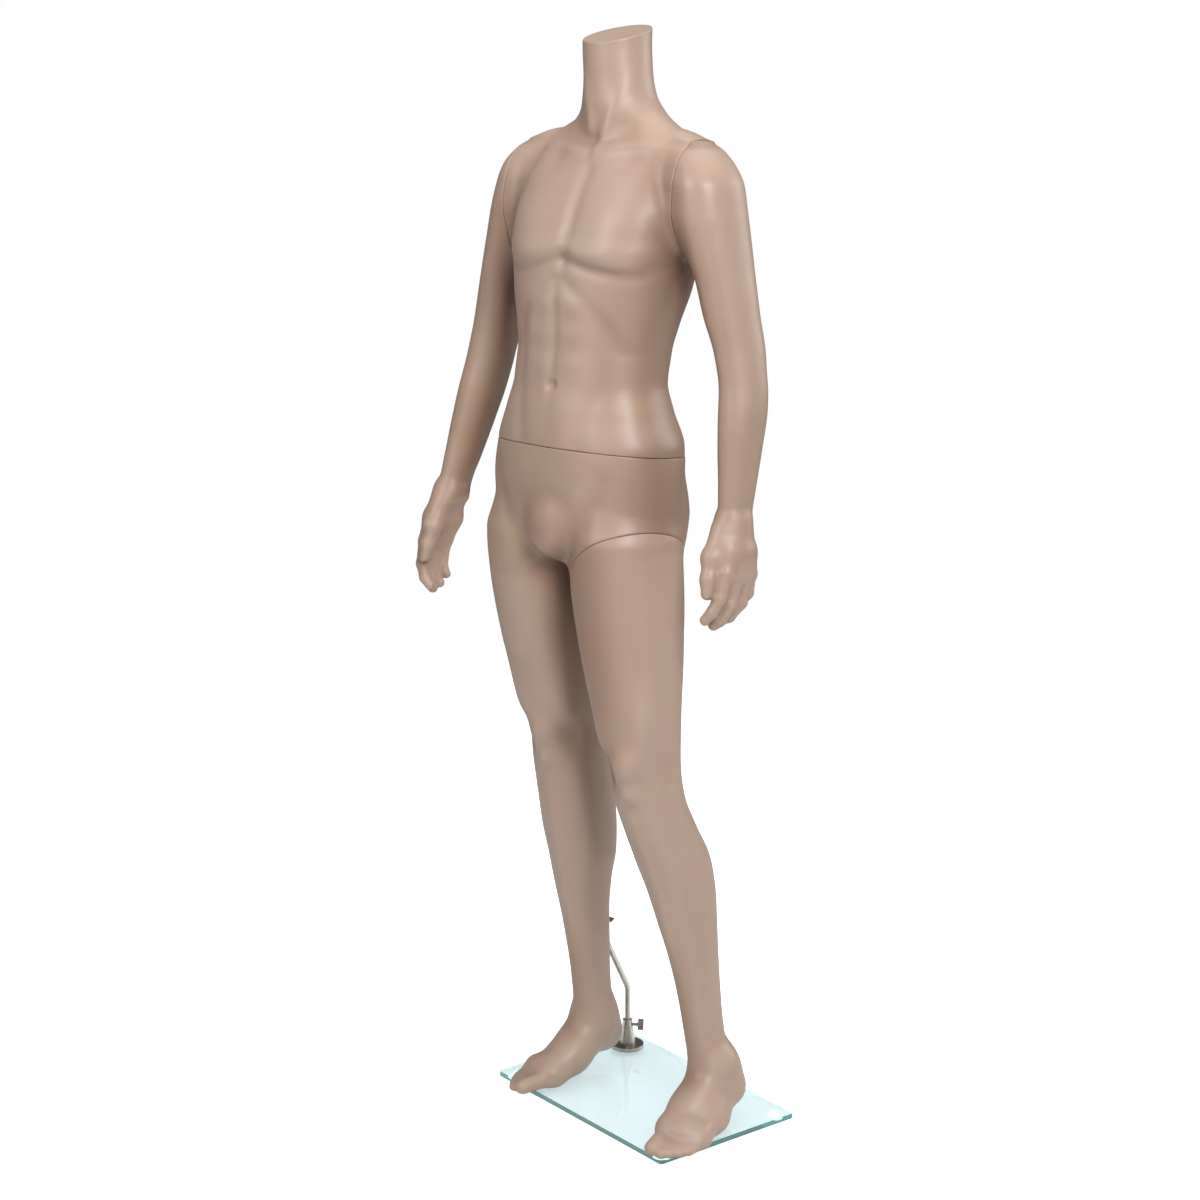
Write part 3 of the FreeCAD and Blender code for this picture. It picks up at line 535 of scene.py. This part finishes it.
# Hands: each chain of joints is x, y, z, radius.
LEFT_HAND = {
    "palm": [
        [(222, -58, 940, 20), (232, -78, 905, 17), (240, -90, 876, 12)],
        [(222, -58, 940, 20), (236, -68, 900, 16), (243, -74, 868, 12.5)],
        [(222, -58, 940, 20), (236, -58, 900, 16), (243, -56, 866, 12)],
        [(222, -54, 940, 20), (232, -46, 900, 16), (238, -40, 868, 11.5)],
    ],
    "fingers": [
        [(240, -91, 876, 11), (238, -100, 842, 9.5), (231, -108, 822, 8.5), (222, -112, 811, 7.8)],
        [(243, -74, 868, 11), (243, -84, 832, 9.6), (233, -94, 810, 8.6), (224, -97, 802, 7.9)],
        [(243, -56, 866, 10.5), (244, -64, 832, 9.2), (232, -74, 812, 8.3), (222, -78, 806, 7.6)],
        [(238, -40, 868, 9.8), (240, -46, 842, 8.6), (230, -55, 824, 7.6), (222, -58, 818, 7)],
    ],
    "thumb": [(220, -78, 930, 15), (220, -98, 896, 13.5), (224, -108, 868, 10.5), (226, -113, 849, 9)],
}
RIGHT_HAND = {
    "palm": [
        [(-262, -148, 932, 20), (-272, -170, 896, 15), (-276, -184, 862, 11.5)],
        [(-262, -148, 932, 20), (-276, -162, 892, 15), (-282, -172, 858, 11.5)],
        [(-262, -148, 932, 20), (-274, -152, 892, 15), (-282, -158, 856, 11.5)],
        [(-262, -144, 932, 20), (-268, -140, 892, 15), (-276, -144, 858, 11)],
    ],
    "fingers": [
        [(-276, -185, 862, 10.5), (-276, -192, 828, 9.2), (-268, -194, 808, 8.2), (-258, -193, 798, 7.6)],
        [(-282, -172, 858, 10.5), (-283, -178, 822, 9.3), (-275, -181, 802, 8.4), (-266, -181, 791, 7.8)],
        [(-282, -158, 856, 10), (-282, -164, 822, 9), (-274, -168, 805, 8.2), (-265, -168, 797, 7.5)],
        [(-276, -144, 858, 9.5), (-278, -150, 830, 8.3), (-272, -154, 814, 7.5), (-266, -154, 808, 7)],
    ],
    "thumb": [(-258, -164, 922, 15), (-258, -186, 886, 13), (-261, -195, 858, 10.5), (-263, -199, 842, 9)],
}


def hand(clay, joints):
    """Palm, thumb and fingers."""
    for chain in joints["palm"]:
        clay.limb(chain, 12)
    clay.limb(joints["thumb"], 10)
    for chain in joints["fingers"]:
        clay.limb(chain, 3.5)


# ---------------------------------------------------------------------------------------------------------
# Shells: the clay's skin, cut at the seams
# ---------------------------------------------------------------------------------------------------------

FACE_GAP = 0.35         # from a shell's face to its seam plane
RIM = 1.5               # how far from its plane a shell begins to turn in
RIM_STEP = 0.5          # where the turned-in rim has an extra row of points
RIM_DEPTH = 0.9         # how far it turns in
RIM_SLACK = 0.01        # points this far past the plane still belong to the rim
LEAST_TURN = 0.2        # skin that faces a seam more squarely than this isn't turned in
ON_PLANE = 0.02         # how near a seam plane a point counts as on it
WELD = 0.005            # points nearer than this to a cut are taken as on it
CIRCLE_POINTS = 48
RELAX_ROUNDS = 2
SHADE_ROUNDS = 6
# How far out from the skin folds are looked for, and the share that each distance has in the painted shade.
SHADE_REACHES = ((14, 0.3), (34, 0.35), (80, 0.35))

# The seam planes of the frame: origin, normal from the carrying shell to the carried one, and the x axis
# in which the fittings on it are laid out.
waist_slope = math.radians(6.5)
thigh_roll = math.radians(35.1)
thigh_pitch = math.radians(18.4)
neck_slope = math.radians(14)
WAIST = ((-26, -92, 1022), (0, math.sin(waist_slope), math.cos(waist_slope)), (1, 0, 0))
thigh_normal = Vector((math.tan(thigh_roll), -math.tan(thigh_pitch), -1)).normalized()
THIGH = ((66, -100, 869), tuple(thigh_normal), (math.cos(thigh_roll), 0, math.sin(thigh_roll)))
LEFT_SHOULDER = ((137, -44, 1390), (1, 0, 0), (0, 0, 1))
RIGHT_SHOULDER = ((-177, -60, 1390), (-1, 0, 0), (0, 0, 1))
NECK_TOP = ((-19, -41, 1596), (0, -math.sin(neck_slope), math.cos(neck_slope)), (1, 0, 0))
LEG_SPLIT = ((-19, 0, 0), (1, 0, 0), (0, 0, 1))


def circle(radius):
    turns = np.linspace(0, 2 * math.pi, CIRCLE_POINTS, endpoint=False)
    return [(radius * math.cos(turn), radius * math.sin(turn)) for turn in turns]


def rectangle(low_x, high_x, half):
    return [(low_x, -half), (high_x, -half), (high_x, half), (low_x, half)]


WAIST_DISC = circle(38.1)
WAIST_SOCKET = circle(17.1)
PLATE = rectangle(-21.1, 45.1, 17.1)
STUD_DISC = circle(19.1)
# Recesses in the seam faces, for the fittings: each is a list of (outline, depth) steps.
CUP_RECESS = [(WAIST_DISC, 0), (WAIST_DISC, 4.2), (WAIST_SOCKET, 4.2), (WAIST_SOCKET, 54)]
SPIGOT_RECESS = [(WAIST_DISC, 0), (WAIST_DISC, 4.2)]
PLATE_RECESS = [(PLATE, 0), (PLATE, 9)]
STUD_RECESS = [(STUD_DISC, 0), (STUD_DISC, 3.2)]


def relax(points, faces):
    """Even out the voxel steps by moving each point towards the middle of its neighbours."""
    ends = np.concatenate([faces[:, [0, 1]], faces[:, [1, 2]], faces[:, [2, 3]], faces[:, [3, 0]]])
    count = np.bincount(ends[:, 0], minlength=len(points))[:, None]
    for _ in range(RELAX_ROUNDS):
        near = [np.bincount(ends[:, 0], points[ends[:, 1], axis], len(points)) for axis in range(3)]
        points = 0.5 * points + 0.5 * np.stack(near, 1) / np.maximum(count, 1)
    return points


def shade_of(clay, points):
    """How far each point lies in a fold, from 0 to 1: the clay it meets on its way out. The skin paints it
    as shade.
    """
    def read(places):
        index = np.rint((places - clay.low) / clay.step).astype(int)
        index = np.clip(index, 0, np.array(clay.field.shape) - 1)
        return clay.field[tuple(index.T)]

    steps = np.eye(3) * clay.step * 1.5
    outward = np.stack([read(points + step) - read(points - step) for step in steps], 1)
    outward /= np.linalg.norm(outward, axis=1, keepdims=True) + TINY
    shade = np.zeros(len(points))
    for reach, share in SHADE_REACHES:
        shade += share * np.clip(1 - read(points + outward * reach) / reach, 0, 1)
    return shade


def clay_mesh(clay):
    """The clay's skin as a bmesh, with its folds in the point attribute "shade" for the skin's painted
    shade.
    """
    points, faces = clay.skin()
    points = relax(points, faces)
    shade = shade_of(clay, points)
    shared = np.maximum(np.bincount(faces.ravel(), minlength=len(points)), 1)
    for _ in range(SHADE_ROUNDS):
        middles = np.repeat(shade[faces].mean(1), 4)
        shade = np.bincount(faces.ravel(), middles, len(points)) / shared
    mesh = bpy.data.meshes.new("clay")
    mesh.vertices.add(len(points))
    mesh.vertices.foreach_set("co", points.astype(np.float32).ravel())
    mesh.loops.add(faces.size)
    mesh.loops.foreach_set("vertex_index", faces.astype(np.int32).ravel())
    mesh.polygons.add(len(faces))
    mesh.polygons.foreach_set("loop_start", np.arange(0, faces.size, 4, dtype=np.int32))
    mesh.update(calc_edges=True)
    mesh.attributes.new("shade", "FLOAT", "POINT").data.foreach_set("value", shade.astype(np.float32))
    work = bmesh.new()
    work.from_mesh(mesh)
    bpy.data.meshes.remove(mesh)
    return work


def slice_mesh(work, place, normal, clear):
    """Cut along a plane, and drop what lies ahead of it if clear."""
    bmesh.ops.bisect_plane(
        work, geom=work.verts[:] + work.edges[:] + work.faces[:], dist=WELD,
        plane_co=place, plane_no=normal, clear_outer=clear)


def soften_rim(work, place, normal, allowed=lambda vert: True):
    """Turn the surface in towards a seam, over the last RIM millimetres before its plane."""
    for inset in (RIM_STEP, RIM):
        slice_mesh(work, place - normal * inset, normal, False)
    work.normal_update()
    moves = []
    for vert in work.verts:
        depth = (place - vert.co).dot(normal)
        if -RIM_SLACK < depth < RIM and allowed(vert):
            inward = -(vert.normal - normal * vert.normal.dot(normal))
            if inward.length > LEAST_TURN:
                moves.append((vert, inward.normalized() * RIM_DEPTH * (1 - depth / RIM) ** 2))
    for vert, move in moves:
        vert.co += move


def cap(work, rim, place, outward, along, recesses):
    """Close a cut with a flat face that has the fittings' recesses in it."""
    across = outward.cross(along)
    edges = list(rim)
    rings = []
    for recess in recesses:
        steps = []
        for outline, depth in recess:
            spots = [place + along * x + across * y - outward * depth for x, y in outline]
            steps.append([work.verts.new(spot) for spot in spots])
        mouth = steps[0]
        edges += [work.edges.new((mouth[index - 1], mouth[index])) for index in range(len(mouth))]
        rings.append(steps)
    bmesh.ops.triangle_fill(work, use_beauty=True, edges=edges)
    for steps in rings:
        for upper, lower in zip(steps[:-1], steps[1:]):
            for index in range(len(upper)):
                work.faces.new((upper[index - 1], upper[index], lower[index], lower[index - 1]))
        work.faces.new(steps[-1])
    for edge in edges:
        edge.smooth = False


def cut_at(work, seam, side, gap=FACE_GAP, recesses=()):
    """Cut at a seam: side +1 keeps what lies ahead of its plane, -1 what lies behind it."""
    origin, normal, along = [Vector(row) for row in seam]
    outward = -normal * side
    place = origin - outward * gap
    slice_mesh(work, place, outward, True)
    soften_rim(work, place, outward)
    rim = []
    for edge in work.edges:
        distances = [abs((vert.co - place).dot(outward)) for vert in edge.verts]
        if edge.is_boundary and max(distances) < ON_PLANE:
            rim.append(edge)
    cap(work, rim, place, outward, along, recesses)


def cut_leg_off(work):
    """Take the left leg off the pelvis: below the thigh seam and on the left of the split."""
    origin, normal, along = [Vector(row) for row in THIGH]
    place = origin - normal * FACE_GAP
    split = LEG_SPLIT[0][0]
    slice_mesh(work, place, normal, False)
    gone = []
    for face in work.faces:
        middle = face.calc_center_median()
        if middle.x > split and (middle - place).dot(normal) > 0:
            gone.append(face)
    bmesh.ops.delete(work, geom=gone, context="FACES")
    soften_rim(work, place, normal, lambda vert: vert.co.x > split)
    rim = [edge for edge in work.edges if edge.is_boundary]
    cap(work, rim, place, normal, along, [PLATE_RECESS])


def keep_largest(work):
    """Drop everything that isn't joined to the largest stretch of mesh."""
    left = set(work.verts)
    groups = []
    while left:
        seed = left.pop()
        group = {seed}
        front = [seed]
        while front:
            vert = front.pop()
            for link in vert.link_edges:
                other = link.other_vert(vert)
                if other in left:
                    left.discard(other)
                    group.add(other)
                    front.append(other)
        groups.append(group)
    groups.sort(key=len)
    loose = [vert for group in groups[:-1] for vert in group]
    bmesh.ops.delete(work, geom=loose, context="VERTS")


def finish_shell(work, name, body, node):
    """Make the object, in metres, riding on its body in place of its CAD shell."""
    keep_largest(work)
    bmesh.ops.recalc_face_normals(work, faces=work.faces[:])
    for face in work.faces:
        face.smooth = True
    bmesh.ops.scale(work, vec=(MM, MM, MM), verts=work.verts[:])
    mesh = bpy.data.meshes.new(name)
    work.to_mesh(mesh)
    work.free()
    piece = bpy.data.objects.new(name, mesh)
    bpy.context.collection.objects.link(piece)
    mesh.materials.append(skin_material)
    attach(piece, body)
    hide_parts(node)


def sculpt(low, high, step, form):
    """The mesh of what form adds between two corners, with voxels of the given step."""
    clay = Clay(low, high, step * COARSE)
    form(clay)
    return clay_mesh(clay)


# ---------------------------------------------------------------------------------------------------------
# Materials
# ---------------------------------------------------------------------------------------------------------

class Finish:
    """A Principled material and a few helpers to link procedural detail into it."""

    def __init__(self, name, **constants):
        self.material = bpy.data.materials.new(name)
        self.material.use_nodes = True
        self.nodes = self.material.node_tree.nodes
        self.shader = self.nodes["Principled BSDF"]
        for socket, number in constants.items():
            self.shader.inputs[socket.replace("_", " ")].default_value = number
        self.place = self.nodes.new("ShaderNodeTexCoord").outputs["Object"]

    def link(self, start, end):
        self.material.node_tree.links.new(start, end)

    def noise(self, scale, detail=3, roughness=0.5, stretch=None):
        node = self.nodes.new("ShaderNodeTexNoise")
        node.inputs["Scale"].default_value = scale
        node.inputs["Detail"].default_value = detail
        node.inputs["Roughness"].default_value = roughness
        place = self.place
        if stretch:
            mapping = self.nodes.new("ShaderNodeMapping")
            mapping.inputs["Scale"].default_value = stretch
            self.link(place, mapping.inputs["Vector"])
            place = mapping.outputs["Vector"]
        self.link(place, node.inputs["Vector"])
        return node.outputs["Fac"]

    def ramp(self, source, *stops):
        """stops: (position, colour or grey)."""
        node = self.nodes.new("ShaderNodeValToRGB")
        while len(node.color_ramp.elements) < len(stops):
            node.color_ramp.elements.new(0.5)
        for element, (position, colour) in zip(node.color_ramp.elements, stops):
            element.position = position
            element.color = colour if isinstance(colour, tuple) else (colour, colour, colour, 1)
        self.link(source, node.inputs["Fac"])
        return node.outputs["Color"]

    def multiply(self, first, second):
        node = self.nodes.new("ShaderNodeMix")
        node.data_type = "RGBA"
        node.blend_type = "MULTIPLY"
        node.inputs["Factor"].default_value = 1.0
        self.link(first, node.inputs["A"])
        self.link(second, node.inputs["B"])
        return node.outputs["Result"]

    def bump(self, source, distance, strength):
        node = self.nodes.new("ShaderNodeBump")
        node.inputs["Distance"].default_value = distance
        node.inputs["Strength"].default_value = strength
        self.link(source, node.inputs["Height"])
        self.link(node.outputs["Normal"], self.shader.inputs["Normal"])

    def colour(self, source):
        self.link(source, self.shader.inputs["Base Color"])

    def roughness(self, source):
        self.link(source, self.shader.inputs["Roughness"])


def linear(red, green, blue):
    """A colour given as display values from 0 to 255."""
    return tuple(((part / 255 + 0.055) / 1.055) ** 2.4 for part in (red, green, blue)) + (1,)


def painted_skin():
    """Sprayed satin enamel over moulded plastic: soft tone drift, faint speckle, orange peel, and painted
    shade in the folds.
    """
    finish = Finish("painted_skin", IOR=1.46)
    drift = finish.ramp(finish.noise(5, 2), (0.3, linear(178, 151, 133)), (0.7, linear(184, 158, 141)))
    speckle = finish.ramp(finish.noise(900, 2), (0.35, 0.965), (0.65, 1.0))
    # Painted shade: the colour darkens where the skin lies deep in a fold, read from the point attribute
    # "shade".
    folds = finish.nodes.new("ShaderNodeAttribute")
    folds.attribute_name = "shade"
    painted_fold_shade = finish.ramp(
        folds.outputs["Fac"],
        (0.06, (1, 1, 1, 1)),
        (0.3, (0.74, 0.69, 0.64, 1)),
        (0.8, (0.42, 0.37, 0.32, 1)),
    )
    finish.colour(finish.multiply(finish.multiply(drift, speckle), painted_fold_shade))
    finish.roughness(finish.ramp(finish.noise(14, 3), (0.3, 0.38), (0.7, 0.46)))
    finish.bump(finish.noise(420, 2), 0.00006, 0.5)
    return finish.material


def clear_glass():
    """Float glass: clear from above, green in its cut edges, with painted light that makes the edges glow.
    """
    finish = Finish("clear_glass", Roughness=0.02, IOR=1.5, Transmission_Weight=1.0)
    normal = finish.nodes.new("ShaderNodeNewGeometry").outputs["True Normal"]
    split = finish.nodes.new("ShaderNodeSeparateXYZ")
    finish.link(normal, split.inputs["Vector"])
    level = finish.nodes.new("ShaderNodeMath")
    level.operation = "ABSOLUTE"
    finish.link(split.outputs["Z"], level.inputs[0])
    level = level.outputs["Value"]
    finish.colour(finish.ramp(level, (0.35, linear(120, 178, 172)), (0.75, linear(208, 221, 223))))
    # Painted light: the cut edges glow green, though the glass is no lamp.
    glow = finish.ramp(level, (0.35, linear(62, 112, 108)), (0.75, linear(0, 0, 0)))
    finish.link(glow, finish.shader.inputs["Emission Color"])
    finish.shader.inputs["Emission Strength"].default_value = 1.0
    return finish.material


def brushed_metal(name, tone, roughness, stretch):
    """Metal with a fine grain, drawn out along the axis that has the smallest stretch."""
    finish = Finish(name, Metallic=1.0)
    grain = finish.noise(260, 4, 0.6, stretch)
    darker = linear(*[part * 0.9 for part in tone])
    finish.colour(finish.ramp(grain, (0.3, darker), (0.7, linear(*tone))))
    finish.roughness(finish.ramp(grain, (0.3, roughness), (0.7, roughness + 0.12)))
    finish.bump(grain, 0.00002, 0.4)
    return finish.material


def moulded(name, tone, roughness, glow=0.0):
    """Rubber or nylon with a faint grain."""
    finish = Finish(name, IOR=1.45, Emission_Color=(1, 1, 1, 1), Emission_Strength=glow)
    grain = finish.noise(700, 3)
    darker = linear(*[part * 0.94 for part in tone])
    finish.colour(finish.ramp(grain, (0.3, darker), (0.7, linear(*tone))))
    finish.roughness(finish.ramp(grain, (0.3, roughness), (0.7, roughness + 0.1)))
    finish.bump(grain, 0.00004, 0.4)
    return finish.material


skin_material = painted_skin()
glass = clear_glass()
nickel = brushed_metal("satin_nickel", (188, 182, 172), 0.3, (1, 1, 0.08))
zinc = brushed_metal("zinc_plate", (205, 204, 200), 0.34, (1, 0.2, 1))
yellow_zinc = brushed_metal("screw_zinc", (214, 196, 142), 0.3, (1, 1, 1))
# The glow stands in for the light that the clear bumpers take from the bright floor around them.
bumper_rubber = moulded("bumper_rubber", (232, 236, 236), 0.25, 0.75)
gasket_rubber = moulded("gasket_rubber", (66, 66, 66), 0.6)
nylon = moulded("natural_nylon", (228, 224, 212), 0.4)

NODE_MATERIALS = {
    "glass_base": glass, "base_bumpers": bumper_rubber, "flange_gasket": gasket_rubber,
    "bolt_washer": zinc, "flange_bolt": zinc, "base_flange": nickel, "flange_wing_screw": nickel,
    "support_rod": nickel, "calf_socket": nickel, "calf_wing_screw": nickel, "waist_cup": zinc,
    "waist_spigot": zinc, "waist_locating_pin": zinc,
}
SHELLS = ("torso_shell", "pelvis_right_leg_shell", "left_leg_shell", "left_arm_shell", "right_arm_shell")


def node_material(name):
    if name in NODE_MATERIALS:
        return NODE_MATERIALS[name]
    if name.endswith("_bush"):
        return nylon
    return yellow_zinc if name.endswith("_screws") else zinc


for name, node in frame["nodes"].items():
    if name not in SHELLS:
        node.data.materials.clear()
        node.data.materials.append(node_material(name))


# ---------------------------------------------------------------------------------------------------------
# Camera, light and floor
# ---------------------------------------------------------------------------------------------------------

EYE = Vector((2.4331, -2.5272, 1.5859))
PITCH = math.radians(12.85)     # how far the camera looks down
AZIMUTH = math.radians(45)
FLOOR_REACH = 2.3
FLOOR_DROP = 0.0003             # keeps the floor just clear of the bumpers
AMBIENT = 0.12

camera_data = bpy.data.cameras.new("camera")
camera_data.lens = 73.5
camera_data.sensor_width = 36
camera = bpy.data.objects.new("camera", camera_data)
camera.location = EYE
camera.rotation_euler = (math.radians(90) - PITCH, 0, AZIMUTH)
bpy.context.collection.objects.link(camera)
bpy.context.scene.camera = camera
bpy.context.scene.view_settings.view_transform = "Standard"


def softbox(name, place, target, width, height, watts):
    """A white rectangular lamp turned towards a target."""
    data = bpy.data.lights.new(name, "AREA")
    data.shape = "RECTANGLE"
    data.size = width
    data.size_y = height
    data.energy = watts
    lamp = bpy.data.objects.new(name, data)
    lamp.location = place
    lamp.rotation_euler = (Vector(target) - Vector(place)).to_track_quat("-Z", "Y").to_euler()
    bpy.context.collection.objects.link(lamp)


softbox("right", (2.7, -1.5, 3.0), (0, -0.05, 1.0), 1.1, 1.5, 96)
softbox("left", (-0.4, -3.0, 2.8), (0, -0.05, 1.0), 1.1, 1.5, 46)
softbox("top", (0, 0.3, 3.9), (0, 0, 1.0), 2.4, 2.4, 40)
softbox("back", (1.6, 3.2, 2.2), (0, 0, 1.0), 1.6, 2.0, 46)

# The backdrop is plain white to the camera and through the glass, and dimmer to what it lights.
world = bpy.data.worlds.new("studio")
bpy.context.scene.world = world
world.use_nodes = True
world_nodes = world.node_tree.nodes
world_link = world.node_tree.links.new
ambient = world_nodes["Background"]
ambient.inputs["Color"].default_value = (1, 1, 1, 1)
ambient.inputs["Strength"].default_value = AMBIENT
backdrop = world_nodes.new("ShaderNodeBackground")
backdrop.inputs["Color"].default_value = (1, 1, 1, 1)
backdrop.inputs["Strength"].default_value = 1.0
ray = world_nodes.new("ShaderNodeLightPath")
seen_ray = world_nodes.new("ShaderNodeMath")
seen_ray.operation = "MAXIMUM"
world_link(ray.outputs["Is Camera Ray"], seen_ray.inputs[0])
world_link(ray.outputs["Is Transmission Ray"], seen_ray.inputs[1])
either = world_nodes.new("ShaderNodeMixShader")
world_link(seen_ray.outputs["Value"], either.inputs["Fac"])
world_link(ambient.outputs["Background"], either.inputs[1])
world_link(backdrop.outputs["Background"], either.inputs[2])
world_link(either.outputs["Shader"], world_nodes["World Output"].inputs["Surface"])

floor_mesh = bpy.data.meshes.new("floor")
corners = [(x * FLOOR_REACH, y * FLOOR_REACH, 0) for x, y in ((-1, -1), (1, -1), (1, 1), (-1, 1))]
floor_mesh.from_pydata(corners, [], [(0, 1, 2, 3)])
floor = bpy.data.objects.new("floor", floor_mesh)
floor.location.z = float(cad_low[2]) - FLOOR_DROP
bpy.context.collection.objects.link(floor)
paper = Finish("paper", Roughness=0.9, Emission_Color=(1, 1, 1, 1), Emission_Strength=0.9)
paper.colour(paper.ramp(paper.noise(3), (0.3, linear(236, 236, 236)), (0.7, linear(240, 240, 240))))
floor_mesh.materials.append(paper.material)
# The floor's own glow keeps it white and reaches the floor, the glass and the metal, but not the shells.
lit_by_floor = bpy.data.collections.new("lit_by_floor")
for item in bpy.data.objects:
    if item.type == "MESH":
        lit_by_floor.objects.link(item)
floor.light_linking.receiver_collection = lit_by_floor


# ---------------------------------------------------------------------------------------------------------
# The five shells
# ---------------------------------------------------------------------------------------------------------

torso = sculpt((-192, -235, 985), (152, 95, 1640), 2.6, upper_body)
cut_at(torso, WAIST, 1, recesses=[SPIGOT_RECESS])
cut_at(torso, NECK_TOP, -1, 0)
cut_at(torso, LEFT_SHOULDER, -1, recesses=[PLATE_RECESS])
cut_at(torso, RIGHT_SHOULDER, -1, recesses=[PLATE_RECESS])
finish_shell(torso, "torso", "torso", "torso_shell")

left_arm = sculpt((128, -160, 770), (285, 60, 1470), 1.8, upper_body)
cut_at(left_arm, LEFT_SHOULDER, 1, recesses=[STUD_RECESS])
finish_shell(left_arm, "left_arm", "left_arm", "left_arm_shell")

right_arm = sculpt((-325, -230, 765), (-168, 40, 1470), 1.8, upper_body)
cut_at(right_arm, RIGHT_SHOULDER, 1, recesses=[STUD_RECESS])
finish_shell(right_arm, "right_arm", "right_arm", "right_arm_shell")

left_leg = sculpt((-40, -235, 5), (250, 95, 1000), 2.3, lower_body)
cut_at(left_leg, THIGH, 1, recesses=[STUD_RECESS])
cut_at(left_leg, LEG_SPLIT, 1)
finish_shell(left_leg, "left_leg", "left_leg", "left_leg_shell")

pelvis = sculpt((-210, -235, 5), (160, 95, 1058), 2.7, lower_body)
cut_at(pelvis, WAIST, -1, recesses=[CUP_RECESS])
cut_leg_off(pelvis)
finish_shell(pelvis, "pelvis_right_leg", "figure", "pelvis_right_leg_shell")
